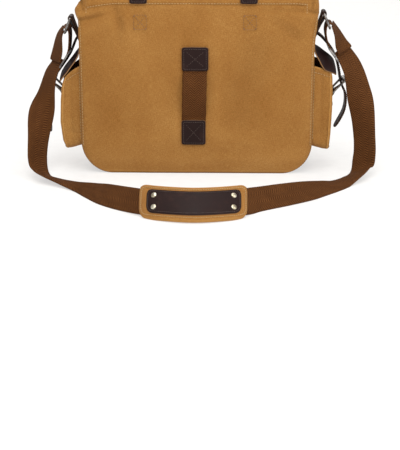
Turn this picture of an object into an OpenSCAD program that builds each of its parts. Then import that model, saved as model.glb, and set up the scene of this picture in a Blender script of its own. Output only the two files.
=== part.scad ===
// Canvas messenger bag with leather fittings, buckled pockets and a padded shoulder strap.
// Millimetres. +Z is up, the flap faces -Y, the plain back faces +Y, and the origin is the
// middle of the base. "_right" parts are on +X, "_left" parts on -X.

/* [Body] */
// Width between the side seams
body_w = 350; // [340:2:360]
// Height of the canvas body
body_h = 280; // [278:1:282]
// Depth between the front and back seams
body_d = 95; // [93:1:97]
// Radius of the lower left corner
corner_left_r = 45; // [42:1:48]
// Radius of the lower right corner
corner_right_r = 47; // [46:1:54]
// Thickness of the lined canvas
cloth_t = 2.5; // [2:0.25:3]
// How far the back panel bulges
back_crown = 10; // [6:1:12]
// How far the sides bulge near the top
side_bulge = 7; // [5:1:8]

/* [Leather] */
// Thickness of the leather patches
patch_t = 1.5; // [1:0.25:2]
// Thickness of the leather belts
belt_t = 3; // [2.5:0.25:3]
// Width of the front belts
front_belt_w = 25; // [20:1:27]
// Width of the side belts
side_belt_w = 22; // [18:1:24]

/* [Pockets] */
// Width of each front pocket
front_pocket_w = 135; // [125:1:140]
// How far the front pockets stand out
front_pocket_d = 34; // [30:1:34]
// How far the side pockets stand out
side_pocket_d = 30; // [26:1:30]
// Width of the side pockets
side_pocket_w = 90; // [84:1:92]

/* [Metal] */
// Radius of the buckle wire
wire_r = 1.8; // [1.6:0.1:2]
// Radius of the buckle rollers
roller_r = 3.2; // [2.8:0.1:3.4]
// Radial clearance of a roller, prong or ring on its bar
running_gap = 0.05; // [0.03:0.01:0.08]

/* [Strap] */
// Width of the strap webbing
webbing_w = 38; // [36:1:40]
// Width of the band on the back
band_w = 35.5; // [34:0.5:37]
// Thickness of the webbing
webbing_t = 1.8; // [1.4:0.2:2]
// Width of the shoulder pad
pad_w = 54; // [50:1:58]
// Thickness of the shoulder pad
pad_t = 5; // [4:0.5:6]

/* [Hidden] */
$fn = 48;
canvas = "#b87f45";
leather = "#3d2a28";
webbing = "#5a3a26";
metal = "#8a8378";
skin_gap = 0.2;
board_t = 2;
lining_t = 1;
lining_in = cloth_t + board_t + 0.4;
rim_z = body_h - 2;
seam_y = body_d / 2;
corner_r = [corner_left_r, corner_right_r];

// Flap: its sewn strip, its fold lines and its profile (y, z) down the front
strip_z = 259.8;
strip_top = body_h + 0.5;
flap_z = body_h + 1;
flap_t = 2.4;
flap_w = 330;
flap_hem_w = 314;
hinge_back_y = 50;
flap_line = [[-50.3, flap_z], [-53, 276], [-72, 212], [-84.6, 168], [-85, 105]];

// Front pockets
front_y = seam_y + cloth_t;
front_pocket_x = 80;
front_pocket_z = [32, 165];
side_pocket_base = 35;
// Rim of each side pocket at the body and at its outer face, [left, right]
side_pocket_rim = [[166, 156], [165, 146]];
pocket_t = 2;
pocket_r = 14;

// Closures, drawn in a local frame: +X leads outward, the pocket face is where face_x says
side_face = body_w / 2 + side_pocket_d;
front_face = front_y + front_pocket_d;
side_heel = [side_face + 6, 116];
side_front_bar = [side_face + 23, 134];
front_heel = [front_face + 5, 97];
front_front_bar = [front_face + 12, 121];
side_belt_y = -22;
// Belt and flap lines over the side pockets, [left, right]
side_belt_end = [[[225, 122], [229.5, 112], [230.5, 98], [228, 84], [221.5, 70], [214.5, 58]],
  [[225.5, 122], [229.5, 112], [231.5, 98], [232, 84], [232, 70], [231.5, 57], [231, 48]]];
side_belt_line = [
  concat([[181.5, 206], [187, 203], [194, 196.5], [203, 186], [210.5, 174.5], [216, 160],
    [219, 147], [221.5, 133]], side_belt_end[0]),
  concat([[181.5, 201], [186, 196.5], [191, 185], [197, 171.5], [205, 159.5], [213, 148.5],
    [218.5, 140.5], [221.5, 132]], side_belt_end[1])];
front_belt_line = [[70.2, 228], [80, 194], [87.4, 168], [88, 150], [88.2, 136], [89.2, 121],
  [95, 108], [98, 97], [98, 86], [95, 75], [90, 66]];
side_flap_line = [
  [[179, 190], [185, 187.5], [193, 181.5], [202, 174.5], [208, 168.5], [211, 161]],
  [[179, 187], [184, 181], [190, 172.5], [197, 163.8], [203, 156.8], [208, 149.5]]];
side_flap_w = 90;
side_flap_droop = [[4, 12, 19, 16, 12, 6], [6, 8, 7, 7.5, 7, 6]];
buckle_w = 33;
chape_t = 2;
chape_w = 20;
prong_r = 1.5;

// Rings and strap ends: x and z of each ring's inner and outer bar, by side [left, right]
ring_y = 14;
ring_w = 43;
ring_in = [[191.5, 242], [191, 234]];
ring_out = [[200, 222], [199, 214]];
slider_at = [[206.5, 182], [201.5, 171.5]];
slider_dir = [[14, -19], [11, -18]];

// Shoulder strap: x, y, z, then the heading and the rise of its width, in degrees.
// It leaves the left ring, touches the table, carries the pad and comes back to the right ring.
ROUTE = [[-205, 14, 226, -98, 0], [-213, 14, 211, -106, 4], [-220, 14, 193, -120, 10],
  [-226, 15, 179, -130, 13], [-234, 18, 166, -138, 12], [-241, 21, 150, -146, 9],
  [-247, 26, 126, -166, 3], [-253, 33, 96, -202, 0], [-256, 42, 65, -217, 0],
  [-257, 51, 34, -216, 6], [-252, 60, 12, -206, 26], [-236, 86, 6, -232, 14],
  [-217, 108, 2, -236, 1], [-198, 134, 5, -234, -10], [-177, 160, 8.5, -233, -21],
  [-156, 185, 11.5, -234, -31], [-120, 214, 13.5, -241, -40], [-91, 235, 14.5, -256, -43],
  [-65, 263, 17.5, -268, -44], [-35, 279, 19, -270, -44], [0, 286, 19.5, -270, -44],
  [35, 279, 19, -270, -44], [65, 264, 17.5, -272, -44], [100, 235, 14.5, -290, -42],
  [125, 208, 12, -306, -34], [143, 178, 8.5, -310, -21], [163, 144, 4, -318, -8],
  [190, 120, 3.5, -311, 8], [218, 102, 7, -306, 19], [236, 83, 11, -310, 24],
  [242, 70, 28, -308, 6], [241, 54, 62, -319, 2], [237.5, 42, 92, -354, 2],
  [231.5, 31, 119, -402, 4], [225, 22, 146, -420, 8], [218, 17, 163, -425, 8],
  [213, 14, 185, -430, 5], [209, 14, 206, -438, 2], [203, 14, 218, -442, 0]];

// ---------- helpers ----------
function reversed(a) = [for (i = [len(a) - 1:-1:0]) a[i]];
function arc(cx, cz, r, a0, a1, n = 10) =
  [for (i = [0:n]) let(a = a0 + (a1 - a0) * i / n) [cx + r * cos(a), cz + r * sin(a)]];
function unit(v) = v / norm(v);
function normal_at(p, i) =
  let(a = p[max(i - 1, 0)], b = p[min(i + 1, len(p) - 1)], d = unit(b - a)) [-d[1], d[0]];
function shifted(p, d) = [for (i = [0:len(p) - 1]) p[i] + d * normal_at(p, i)];
function band(p, d0, d1) = concat(shifted(p, d0), reversed(shifted(p, d1)));

// Half width of the body at height z; i is 0 on the left and 1 on the right
side_shape = [
  [[184, 0], [200, 0.1], [216, 0.27], [228, 0.55], [238, 0.82], [248, 0.97], [256, 1],
    [266, 0.85], [280, 0.6]],
  [[206, 0], [226, 0.05], [235, 0.22], [240, 0.5], [246, 0.82], [250, 0.9], [254, 0.8],
    [259, 0.25], [264, -0.3], [270, -0.6], [280, -0.8]]];
function side_x(z, i) = body_w / 2 + side_bulge * lookup(z, side_shape[i]);
function half_w(z, i) = let(c = corner_r[i])
  z < c ? body_w / 2 - c + sqrt(c * c - pow(c - z, 2)) : side_x(z, i);
// Outer surface of the back panel
function back_y(x, z) = front_y + back_crown
  * (1 - pow(abs(x) / half_w(z, x > 0 ? 1 : 0), 4)) * (1 - pow(abs(2 * z / body_h - 1), 4));

// U-shaped outline of the body, set in by d, from the left rim round to the right rim
function u_line(d, top = rim_z) =
  let(zs = [for (i = [0:20]) top + (170 - top) * i / 20], a = corner_r[0], b = corner_r[1])
  concat([for (z = zs) [d - side_x(z, 0), z]], arc(a - body_w / 2, a, a - d, 180, 270),
    arc(body_w / 2 - b, b, b - d, 270, 360), [for (z = reversed(zs)) [side_x(z, 1) - d, z]]);
function pocket_outline(w, z0, z1, r) = concat(arc(r - w / 2, z0 + r, r, 180, 270, 6),
  arc(w / 2 - r, z0 + r, r, 270, 360, 6), [[w / 2, z1], [-w / 2, z1]]);

// Extrudes an (x, z) outline along Y, or a (y, z) outline along X
module along_y(depth, y = 0) translate([0, y, 0]) rotate([90, 0, 0])
  linear_extrude(height = depth, center = true) children();
module along_x(width, x = 0) translate([x, 0, 0]) rotate([90, 0, 90])
  linear_extrude(height = width, center = true) children();
// Turns the local closure frame so that its +X leads out of the front (-Y)
module to_front(x) translate([x, 0, 0]) rotate([0, 0, -90]) children();
module to_side(side) mirror([side < 0 ? 1 : 0, 0, 0]) children();

// Closed solid between two grids of points
module between(a, b) {
  rows = len(a);
  cols = len(a[0]);
  n = rows * cols;
  top = [for (i = [0:rows - 2], j = [0:cols - 2]) let(p = i * cols + j)
    each [[p, p + 1, p + cols], [p + 1, p + cols + 1, p + cols]]];
  under = [for (f = top) [f[0] + n, f[2] + n, f[1] + n]];
  rim = concat([for (j = [0:cols - 1]) j], [for (i = [1:rows - 1]) i * cols + cols - 1],
    [for (j = [cols - 2:-1:0]) (rows - 1) * cols + j], [for (i = [rows - 2:-1:1]) i * cols]);
  walls = [for (k = [0:len(rim) - 1]) let(p = rim[k], q = rim[(k + 1) % len(rim)])
    each [[q, p, p + n], [q, p + n, q + n]]];
  polyhedron(concat([for (r = a) each r], [for (r = b) each r]), concat(top, under, walls));
}
// A patch that lies on the back panel, from height d0 to d1 above it
function back_grid(x0, x1, z0, z1, d, nx, nz) = [for (i = [0:nz]) let(z = z0 + (z1 - z0) * i / nz)
  [for (j = [0:nx]) let(x = x0 + (x1 - x0) * j / nx) [x, back_y(x, z) + d, z]]];
module back_patch(x0, x1, z0, z1, d0, d1, nx = 4, nz = 6)
  between(back_grid(x0, x1, z0, z1, d1, nx, nz), back_grid(x0, x1, z0, z1, d0, nx, nz));

// ---------- body ----------
module patch_zone(side, t0) intersection() {
  along_y(body_d) polygon(concat(u_line(t0), reversed(u_line(patch_t))));
  translate([side > 0 ? 127 : -227, -body_d, -5]) cube([100, 2 * body_d, 39.5]);
}
module gusset() color(canvas) difference() {
  along_y(body_d) polygon(concat(u_line(0), reversed(u_line(cloth_t))));
  for (side = [-1, 1]) patch_zone(side, -1);
}
module corner_patch(side) color(leather) patch_zone(side, 0);
module back_panel() color(canvas) {
  zs = concat([for (a = [0:15:90]) corner_left_r * (1 - cos(a))],
    [for (z = [corner_right_r:18:200]) z], [for (i = [0:12]) 206 + (rim_z - 206) * i / 12]);
  outer = [for (z = zs) [for (j = [-8:8])
    let(x = half_w(z, j > 0 ? 1 : 0) * j / 8) [x, back_y(x, z), z]]];
  inner = [for (z = zs) [for (j = [-8:8])
    let(x = half_w(z, j > 0 ? 1 : 0) * j / 8) [x, back_y(x, z) - cloth_t, z]]];
  between(outer, inner);
}
module front_panel() color(canvas) along_y(cloth_t, -seam_y - cloth_t / 2) polygon(u_line(0));
module lining() color("tan") difference() {
  along_y(body_d - 1) polygon(u_line(lining_in, rim_z - 4));
  along_y(body_d - 1 - 2 * lining_t) polygon(u_line(lining_in + lining_t, rim_z));
}
module base_board() color("dimgray") translate([-4, 0, cloth_t + 0.2 + board_t / 2])
  cube([244, body_d - 10, board_t], center = true);

// ---------- flap ----------
module flap_back_strip() color(canvas)
  back_patch(-flap_w / 2, flap_w / 2, strip_z, strip_top, 0.3, 2.3, 16, 4);
module flap_top() color(canvas) translate([-flap_w / 2, -hinge_back_y + 0.3, flap_z])
  cube([flap_w, 2 * hinge_back_y - 0.6, flap_t]);
module flap_front() color(canvas) intersection() {
  along_x(flap_w) polygon(band(flap_line, 0, -flap_t));
  along_y(400) polygon(concat([[-flap_w / 2, 300]], arc(8 - flap_hem_w / 2, 113, 8, 180, 270, 5),
    arc(flap_hem_w / 2 - 8, 113, 8, 270, 360, 5), [[flap_w / 2, 300]]));
}

// ---------- pockets ----------
module tray(w, zr, depth) difference() {
  linear_extrude(height = depth) polygon(pocket_outline(w, zr[0], zr[1], pocket_r));
  translate([0, 0, -1]) linear_extrude(height = depth + 1 - pocket_t)
    polygon(pocket_outline(w - 2 * pocket_t, zr[0] + pocket_t, zr[1] + 1, pocket_r - pocket_t));
}
module front_pocket(side) color(canvas) translate([side * front_pocket_x, -front_y, 0])
  rotate([90, 0, 0]) tray(front_pocket_w, front_pocket_z, front_pocket_d);
module side_pocket(side) color(canvas) to_side(side) difference() {
  rim = side_pocket_rim[ring_index(side)];
  translate([body_w / 2, 0, 0]) rotate([90, 0, 90])
    tray(side_pocket_w, [side_pocket_base, rim[0] + 1], side_pocket_d);
  along_y(100) polygon([[body_w / 2 - 1, rim[0]], [side_face + 1, rim[1]], [side_face + 1, 180],
    [body_w / 2 - 1, 180]]);
}
module name_plate() color(metal) translate([128, -front_face - 0.6, 50]) cube([27, 1.2, 14], center = true);

// ---------- back band and handle ----------
band_z = [54, 192];
band_bow = 8;
function bow(z) = let(t = (z - 91) / 68) t < 0 || t > 1 ? 0 : band_bow * pow(sin(180 * t), 0.8);
// The band leans a little: its middle at height z
function band_x(z) = 4.4 - 2.4 * (z - 67) / 113;
function band_grid(d) = [for (i = [0:28]) let(z = band_z[0] + (band_z[1] - band_z[0]) * i / 28)
  [for (j = [-1:1]) let(x = band_x(z) + j * band_w / 2) [x, back_y(x, z) + d + bow(z), z]]];
module back_band() color(webbing) between(band_grid(2.2), band_grid(skin_gap));
module back_patch_top() color(leather) back_patch(-17.5, 21.5, 162, 197.5, 2.4, 4.4);
module back_patch_bottom() color(leather) back_patch(-13.5, 22.3, 48.2, 86.4, 2.4, 4.4);

// The handle stands a little off the middle
handle_mid = 4.3;
handle_x = 82;
handle_pin = [53.8, body_h + 5];
handle_rise = 42;
module handle_anchors() color(leather) for (side = [-1, 1])
  back_patch(handle_mid + side * handle_x - 12.5, handle_mid + side * handle_x + 12.5, 261.4,
    body_h + 1.5, 2.4, 5.2);
// Arch of the handle: s runs from 0 at one leg to 1 at the other
function arch(s) = let(a = 180 * s, f = pow(sin(a), 0.55))
  [handle_mid - handle_x * (abs(cos(a)) < 0.01 ? 0 : sign(cos(a)) * pow(abs(cos(a)), 0.72)),
    handle_pin[1] + handle_rise * f];
function oval(c, ax, rx, ry) = [for (k = [0:11]) let(a = 30 * k)
  [c[0] + ax[0] * rx * cos(a), handle_pin[0] + ry * sin(a), c[1] + ax[1] * rx * cos(a)]];
module loft(rings) {
  n = len(rings[0]);
  m = len(rings);
  // The second half of each ring is split the other way, so that the two faces of a twisted
  // ribbon run parallel
  sides = [for (i = [0:m - 2], j = [0:n - 1])
    let(a = i * n + j, b = i * n + (j + 1) % n, c = b + n, d = a + n)
      each (j < n / 2 ? [[a, b, c], [a, c, d]] : [[a, b, d], [b, c, d]])];
  polyhedron([for (r = rings) each r], concat(sides, [[for (j = [n - 1:-1:0]) j]],
    [[for (j = [0:n - 1]) (m - 1) * n + j]]));
}
module handle() color(leather) {
  loft([for (i = [0:32]) let(s = i / 32, p = arch(s), q = arch(s + 0.005), r = arch(s - 0.005),
    d = i == 0 ? [0, 1] : i == 32 ? [0, -1] : unit(q - r), grip = pow(sin(180 * s), 1.2))
    oval(p, [d[1], -d[0]], 12 - 4 * grip, 1.9 + 4.1 * grip)]);
}

// ---------- rings ----------
function ring_index(side) = side > 0 ? 1 : 0;
module bar_y(p, r, len, y = 0) translate([p[0], y, p[1]]) rotate([90, 0, 0])
  cylinder(r = r, h = len, center = true);
module wire_frame(p, q, width, y, r = wire_r) {
  for (e = [p, q]) bar_y(e, r, width, y);
  for (s = [-1, 1]) hull() for (e = [p, q]) translate([e[0], y + s * width / 2, e[1]]) sphere(r, $fn = 20);
}
module ring(side) color(metal) to_side(side)
  wire_frame(ring_in[ring_index(side)], ring_out[ring_index(side)], ring_w, ring_y);
module ring_tab(side) color(leather) to_side(side) {
  p = ring_in[ring_index(side)];
  bore = wire_r + running_gap;
  root = [side_x(p[1] - 36, ring_index(side)) + 0.6, p[1] - 36];
  along_y(24, ring_y) difference() {
    union() {
      translate(p) circle(bore + 2.4);
      polygon([root, root + [2.7, 0], p + [3.4, -2.5], p + [-2.5, 3.4]]);
    }
    translate(p) circle(bore);
  }
}

// ---------- buckled closures, in the local frame ----------
function outward(heel, front) = let(d = unit(front - heel)) [d[1], -d[0]];
module buckle(heel, front, y) color(metal) wire_frame(heel, front, buckle_w, y);
module roller(front, y) color(metal) along_y(buckle_w - 6, y) translate(front) difference() {
  circle(roller_r);
  circle(wire_r + running_gap);
}
module prong(heel, front, y) color(metal) {
  tip = front + outward(heel, front) * (roller_r + prong_r + 1) + unit(front - heel) * 2;
  d = unit(tip - heel);
  difference() {
    union() {
      bar_y(heel, wire_r + 1.6, 4, y);
      translate([heel[0], y, heel[1]]) rotate([0, 90 - atan2(d[1], d[0]), 0])
        cylinder(r = prong_r, h = norm(tip - heel));
    }
    bar_y(heel, wire_r + running_gap, 10, y);
  }
}
module belt(line, w, heel, front, y) color(leather) difference() {
  along_y(w, y) polygon(band(line, 0, belt_t));
  translate([heel[0] - 6, y - 2.5, heel[1] - 9]) cube([60, 5, front[1] - heel[1] + 6]);
}
module chape(face, heel, foot_z, y) color(leather) {
  bore = wire_r + running_gap;
  out = bore + chape_t;
  difference() {
    along_y(chape_w, y) difference() {
      union() {
        translate(heel) circle(out);
        translate([face + 0.5, foot_z]) square([2 * chape_t + 0.4, heel[1] - foot_z]);
      }
      translate(heel) circle(bore);
      translate([face + 0.5 + chape_t, foot_z - 1]) square([0.4, heel[1] - foot_z - 4]);
    }
    translate([heel[0] - 10, y - 2.5, heel[1] - 6]) cube([20, 5, 20]);
  }
}
module snap_cap(face, z, y) color(metal) translate([face + 5.1, y, z]) rotate([0, 90, 0]) {
  cylinder(r = 5, h = 1.2);
  translate([0, 0, 1.2]) cylinder(r1 = 4.4, r2 = 2.4, h = 1);
}
module snap_socket(face, z, y) color(metal)
  translate([face, y, z]) rotate([0, 90, 0]) cylinder(r = 4.5, h = 0.3);
side_snap_z = 94;
front_snap_z = 76;

module front_belt(side) to_front(side * front_pocket_x)
  belt(front_belt_line, front_belt_w, front_heel, front_front_bar, 0);
module front_buckle(side) to_front(side * front_pocket_x) buckle(front_heel, front_front_bar, 0);
module front_roller(side) to_front(side * front_pocket_x) roller(front_front_bar, 0);
module front_prong(side) to_front(side * front_pocket_x) prong(front_heel, front_front_bar, 0);
module front_chape(side) to_front(side * front_pocket_x) chape(front_face, front_heel, 66, 0);
module front_snap_caps() for (side = [-1, 1]) to_front(side * front_pocket_x)
  snap_cap(front_face, front_snap_z, 0);
module side_belt(side) to_side(side)
  belt(side_belt_line[ring_index(side)], side_belt_w, side_heel, side_front_bar, side_belt_y);
module side_buckle(side) to_side(side) buckle(side_heel, side_front_bar, side_belt_y);
module side_roller(side) to_side(side) roller(side_front_bar, side_belt_y);
module side_prong(side) to_side(side) prong(side_heel, side_front_bar, side_belt_y);
module side_chape(side) to_side(side) chape(side_face, side_heel, 84, side_belt_y);
module side_snap_cap(side) to_side(side) snap_cap(side_face, side_snap_z, side_belt_y);
module snap_sockets() {
  for (side = [-1, 1]) to_front(side * front_pocket_x) snap_socket(front_face, front_snap_z, 0);
  for (side = [-1, 1]) to_side(side) snap_socket(side_face, side_snap_z, side_belt_y);
}
// Leather leaf over the side pocket, drooping towards its two free edges
function leaf(d, side) = let(k = ring_index(side), line = shifted(side_flap_line[k], d))
  [for (i = [0:len(line) - 1], p = [line[i]]) [for (j = [-4:4])
    [p[0], side_flap_w / 2 * j / 4, p[1] - side_flap_droop[k][i] * pow(j / 4, 2)]]];
module side_flap(side) color(leather) to_side(side) between(leaf(2.2, side), leaf(0, side));

// ---------- shoulder strap ----------
function knot(i) = ROUTE[min(max(i, 0), len(ROUTE) - 1)];
function spline(u) = let(i = min(floor(u), len(ROUTE) - 2), t = u - i, a = knot(i - 1), b = knot(i),
  c = knot(i + 1), d = knot(i + 2))
  ((2 * b) + (c - a) * t + (2 * a - 5 * b + 4 * c - d) * t * t + (3 * b - a - 3 * c + d) * t * t * t) / 2;
function place(v) = [v[0], v[1], v[2]];
function across(v) = [cos(v[4]) * cos(v[3]), cos(v[4]) * sin(v[3]), sin(v[4])];
// Position, width direction and face normal at u
function frame_at(u) = let(v = spline(u), t = unit(place(spline(u + 0.01)) - place(spline(u - 0.01))),
  h = across(v), w = unit(h - (h * t) * t)) [place(v), w, cross(t, w)];
function flat_ring(f, w, n0, n1) = let(b = min(0.7, (n1 - n0) / 3))
  [for (c = [[-w / 2, n0 + b], [b - w / 2, n0], [-w / 4, n0], [0, n0], [w / 4, n0],
    [w / 2 - b, n0], [w / 2, n0 + b], [w / 2, n1 - b], [w / 2 - b, n1], [w / 4, n1], [0, n1],
    [-w / 4, n1], [b - w / 2, n1], [-w / 2, n1 - b]]) f[0] + f[1] * c[0] + f[2] * c[1]];
pad_mid = 20;
pad_reach = 2.25;
pad_lift = webbing_t / 2 + 0.5;
// The pad keeps one lean along its whole length
pad_across = [0, cos(44), -sin(44)];
function pad_frame(u) = let(t = unit(place(spline(u + 0.01)) - place(spline(u - 0.01))))
  [place(spline(u)), pad_across, unit(cross(t, pad_across))];
module shoulder_strap() color(webbing)
  loft([for (i = [0:114]) flat_ring(frame_at(i / 3 + (i == 0 ? 0.02 : i == 114 ? -0.02 : 0)),
    webbing_w, -webbing_t / 2, webbing_t / 2)]);
module pad_layer(reach, width, n0, n1)
  loft([for (i = [-8:8]) let(e = abs(i) == 8 ? 0.8 : abs(i) == 7 ? 0.95 : 1)
    flat_ring(pad_frame(pad_mid + reach * (abs(i) == 8 ? sign(i) : abs(i) == 7 ? sign(i) * 0.97 : i / 8)),
      width * e, n0, n1)]);
module shoulder_pad() color(canvas) pad_layer(pad_reach, pad_w, pad_lift, pad_lift + pad_t);
module pad_leather() color(leather)
  pad_layer(pad_reach * 0.845, 37, pad_lift + pad_t + 0.4, pad_lift + pad_t + 2);
module pad_rivets() color(metal) for (s = [-1, 1], k = [-1, 1]) {
  f = pad_frame(pad_mid + s * pad_reach * 0.695);
  n = f[2];
  translate(f[0] + f[1] * 9.2 * k + n * (pad_lift + pad_t + 2.1))
    rotate([0, acos(n[2]), atan2(n[1], n[0])]) cylinder(r = 3.6, h = 1.8);
}
// Webbing that wraps the ring and runs down to the slider
module strap_loop(side) color(webbing) to_side(side) {
  r = ring_out[ring_index(side)];
  s = slider_at[ring_index(side)];
  along_y(webbing_w, ring_y) polygon(band([r + [3.2, 5.8], r + [-1, 7.2], r + [-4.6, 4.6],
    r + [-6.2, -1], r + [-5.4, -12], s + [-3.4, 6], s + [-1, 1.5]], 0, webbing_t));
}
module slider(side) color(metal) to_side(side) {
  s = slider_at[ring_index(side)];
  d = unit(slider_dir[ring_index(side)]) * 11;
  wire_frame(s - d, s + d, 46, ring_y, 1.5);
  bar_y(s, 1.5, 46, ring_y);
}

gusset();
back_panel();
front_panel();
lining();
base_board();
flap_back_strip();
flap_top();
flap_front();
corner_patch(-1);  // corner_patch_left
corner_patch(1);  // corner_patch_right
front_pocket(-1);  // front_pocket_left
front_pocket(1);  // front_pocket_right
side_pocket(-1);  // side_pocket_left
side_pocket(1);  // side_pocket_right
back_band();
back_patch_top();
back_patch_bottom();
handle();
handle_anchors();
ring_tab(-1);  // ring_tab_left
ring_tab(1);  // ring_tab_right
ring(-1);  // ring_left
ring(1);  // ring_right
front_belt(-1);  // front_belt_left
front_belt(1);  // front_belt_right
front_buckle(-1);  // front_buckle_left
front_buckle(1);  // front_buckle_right
front_prong(-1);  // front_prong_left
front_prong(1);  // front_prong_right
front_roller(-1);  // front_roller_left
front_roller(1);  // front_roller_right
front_chape(-1);  // front_chape_left
front_chape(1);  // front_chape_right
front_snap_caps();
side_flap(-1);  // side_flap_left
side_flap(1);  // side_flap_right
side_belt(-1);  // side_belt_left
side_belt(1);  // side_belt_right
side_buckle(-1);  // side_buckle_left
side_buckle(1);  // side_buckle_right
side_prong(-1);  // side_prong_left
side_prong(1);  // side_prong_right
side_roller(-1);  // side_roller_left
side_roller(1);  // side_roller_right
side_chape(-1);  // side_chape_left
side_chape(1);  // side_chape_right
side_snap_cap(-1);  // side_snap_cap_left
side_snap_cap(1);  // side_snap_cap_right
snap_sockets();
name_plate();
shoulder_strap();
strap_loop(-1);  // strap_loop_left
strap_loop(1);  // strap_loop_right
slider(-1);  // slider_left
slider(1);  // slider_right
shoulder_pad();
pad_leather();
pad_rivets();
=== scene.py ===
"""Looks of the messenger bag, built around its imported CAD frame. Metres, in the frame's own axes."""

import math

import bpy
import numpy as np
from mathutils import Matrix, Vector, noise


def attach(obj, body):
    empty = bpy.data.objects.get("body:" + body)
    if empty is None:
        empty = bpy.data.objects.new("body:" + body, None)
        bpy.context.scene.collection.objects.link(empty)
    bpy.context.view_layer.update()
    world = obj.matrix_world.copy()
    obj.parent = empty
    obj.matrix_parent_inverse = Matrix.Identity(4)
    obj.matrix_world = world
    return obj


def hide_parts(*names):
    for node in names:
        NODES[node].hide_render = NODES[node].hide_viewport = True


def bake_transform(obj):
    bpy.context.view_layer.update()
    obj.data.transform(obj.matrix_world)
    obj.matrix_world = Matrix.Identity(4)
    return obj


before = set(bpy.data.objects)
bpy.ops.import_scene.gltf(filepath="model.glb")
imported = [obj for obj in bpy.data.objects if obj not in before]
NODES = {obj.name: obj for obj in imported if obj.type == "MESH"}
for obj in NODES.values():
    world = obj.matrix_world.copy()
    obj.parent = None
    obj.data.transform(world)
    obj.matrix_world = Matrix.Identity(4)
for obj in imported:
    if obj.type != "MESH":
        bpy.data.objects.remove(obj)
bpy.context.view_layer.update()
ROOT = "bag"
MM = 0.001

# ---------------------------------------------------------------- camera, light and floor
scene = bpy.context.scene
scene.view_settings.view_transform = "Standard"
scene.view_settings.look = "None"
cam = bpy.data.objects.new("camera", bpy.data.cameras.new("camera"))
scene.collection.objects.link(cam)
scene.camera = cam
PITCH, YAW = math.radians(17.844), math.radians(0.9444)
cam.location = (-0.03745, 2.0063, 0.5458)
cam.rotation_euler = Vector(
    (math.sin(YAW) * math.cos(PITCH), -math.cos(YAW) * math.cos(PITCH), -math.sin(PITCH))
).to_track_quat("-Z", "Y").to_euler()
cam.data.sensor_width = 36
cam.data.lens = 105.25

world = bpy.data.worlds.new("studio")
scene.world = world
world.use_nodes = True
sky = world.node_tree.nodes["Background"]
sky.inputs["Color"].default_value = (1.0, 0.99, 0.975, 1)
sky.inputs["Strength"].default_value = 0.50


def area_light(name, place, target, size, power, colour=(1, 1, 1)):
    data = bpy.data.lights.new(name, "AREA")
    data.shape, data.size, data.energy, data.color = "DISK", size, power, colour
    o = bpy.data.objects.new(name, data)
    scene.collection.objects.link(o)
    o.location = place
    o.rotation_euler = (Vector(target) - Vector(place)).to_track_quat("-Z", "Y").to_euler()


area_light("key", (0.1, 2.0, 2.3), (0, 0, 0.1), 1.8, 45, (1, 0.985, 0.96))
area_light("fill", (-1.8, 1.6, 1.3), (0, 0, 0.12), 2.0, 22, (0.97, 0.985, 1))
area_light("top", (0.0, 0.2, 2.6), (0, 0.05, 0), 2.2, 28)
area_light("rear", (0.4, -2.4, 1.8), (0, 0, 0.15), 1.8, 24)


# ---------------------------------------------------------------- materials
def node_material(name):
    m = bpy.data.materials.new(name)
    m.use_nodes = True
    t = m.node_tree
    return m, t, t.nodes["Principled BSDF"]


def feed(t, node, inputs):
    """Links or sets each input of a node."""
    for k, v in inputs.items():
        if isinstance(v, bpy.types.NodeSocket):
            t.links.new(v, node.inputs[k])
        else:
            node.inputs[k].default_value = v


def n(t, kind, inputs=(), **props):
    node = t.nodes.new(kind)
    for k, v in props.items():
        setattr(node, k, v)
    feed(t, node, dict(inputs))
    return node


def calc(t, op, a, b=0.0, c=0.0):
    return n(t, "ShaderNodeMath", {0: a, 1: b, 2: c}, operation=op).outputs[0]


def times(t, a, b):
    return calc(t, "MULTIPLY", a, b)


def plus(t, a, b):
    return calc(t, "ADD", a, b)


def mix(t, fac, a, b, blend="MIX"):
    m = n(t, "ShaderNodeMix", {0: fac, 6: a, 7: b}, data_type="RGBA", blend_type=blend)
    return m.outputs[2]


def ramp(t, fac, *stops):
    r = n(t, "ShaderNodeValToRGB", {0: fac})
    e = r.color_ramp.elements
    while len(e) < len(stops):
        e.new(0.5)
    for el, (pos, col) in zip(e, stops):
        el.position, el.color = pos, (*col, 1) if len(col) == 3 else col
    return r.outputs[0]


def noise_tex(t, vec, scale, detail=3.0, rough=0.55):
    inputs = {"Vector": vec, "Scale": scale, "Detail": detail, "Roughness": rough}
    return n(t, "ShaderNodeTexNoise", inputs).outputs[0]


def stretched(t, vec, sx, sy, sz=1.0):
    return n(t, "ShaderNodeMapping", {"Vector": vec, "Scale": (sx, sy, sz)}).outputs[0]


def attr(t, name):
    return n(t, "ShaderNodeAttribute", attribute_name=name).outputs["Fac"]


def object_place(t):
    return n(t, "ShaderNodeTexCoord").outputs["Object"]


def mask(t, fac, low, high):
    return ramp(t, fac, (low, (0, 0, 0)), (high, (1, 1, 1)))


def bumped(t, strength, distance, height, **under):
    """Normal of a bump, laid over another normal where one is given."""
    inputs = {"Strength": strength, "Distance": distance, "Height": height, **under}
    return n(t, "ShaderNodeBump", inputs).outputs[0]


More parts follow.
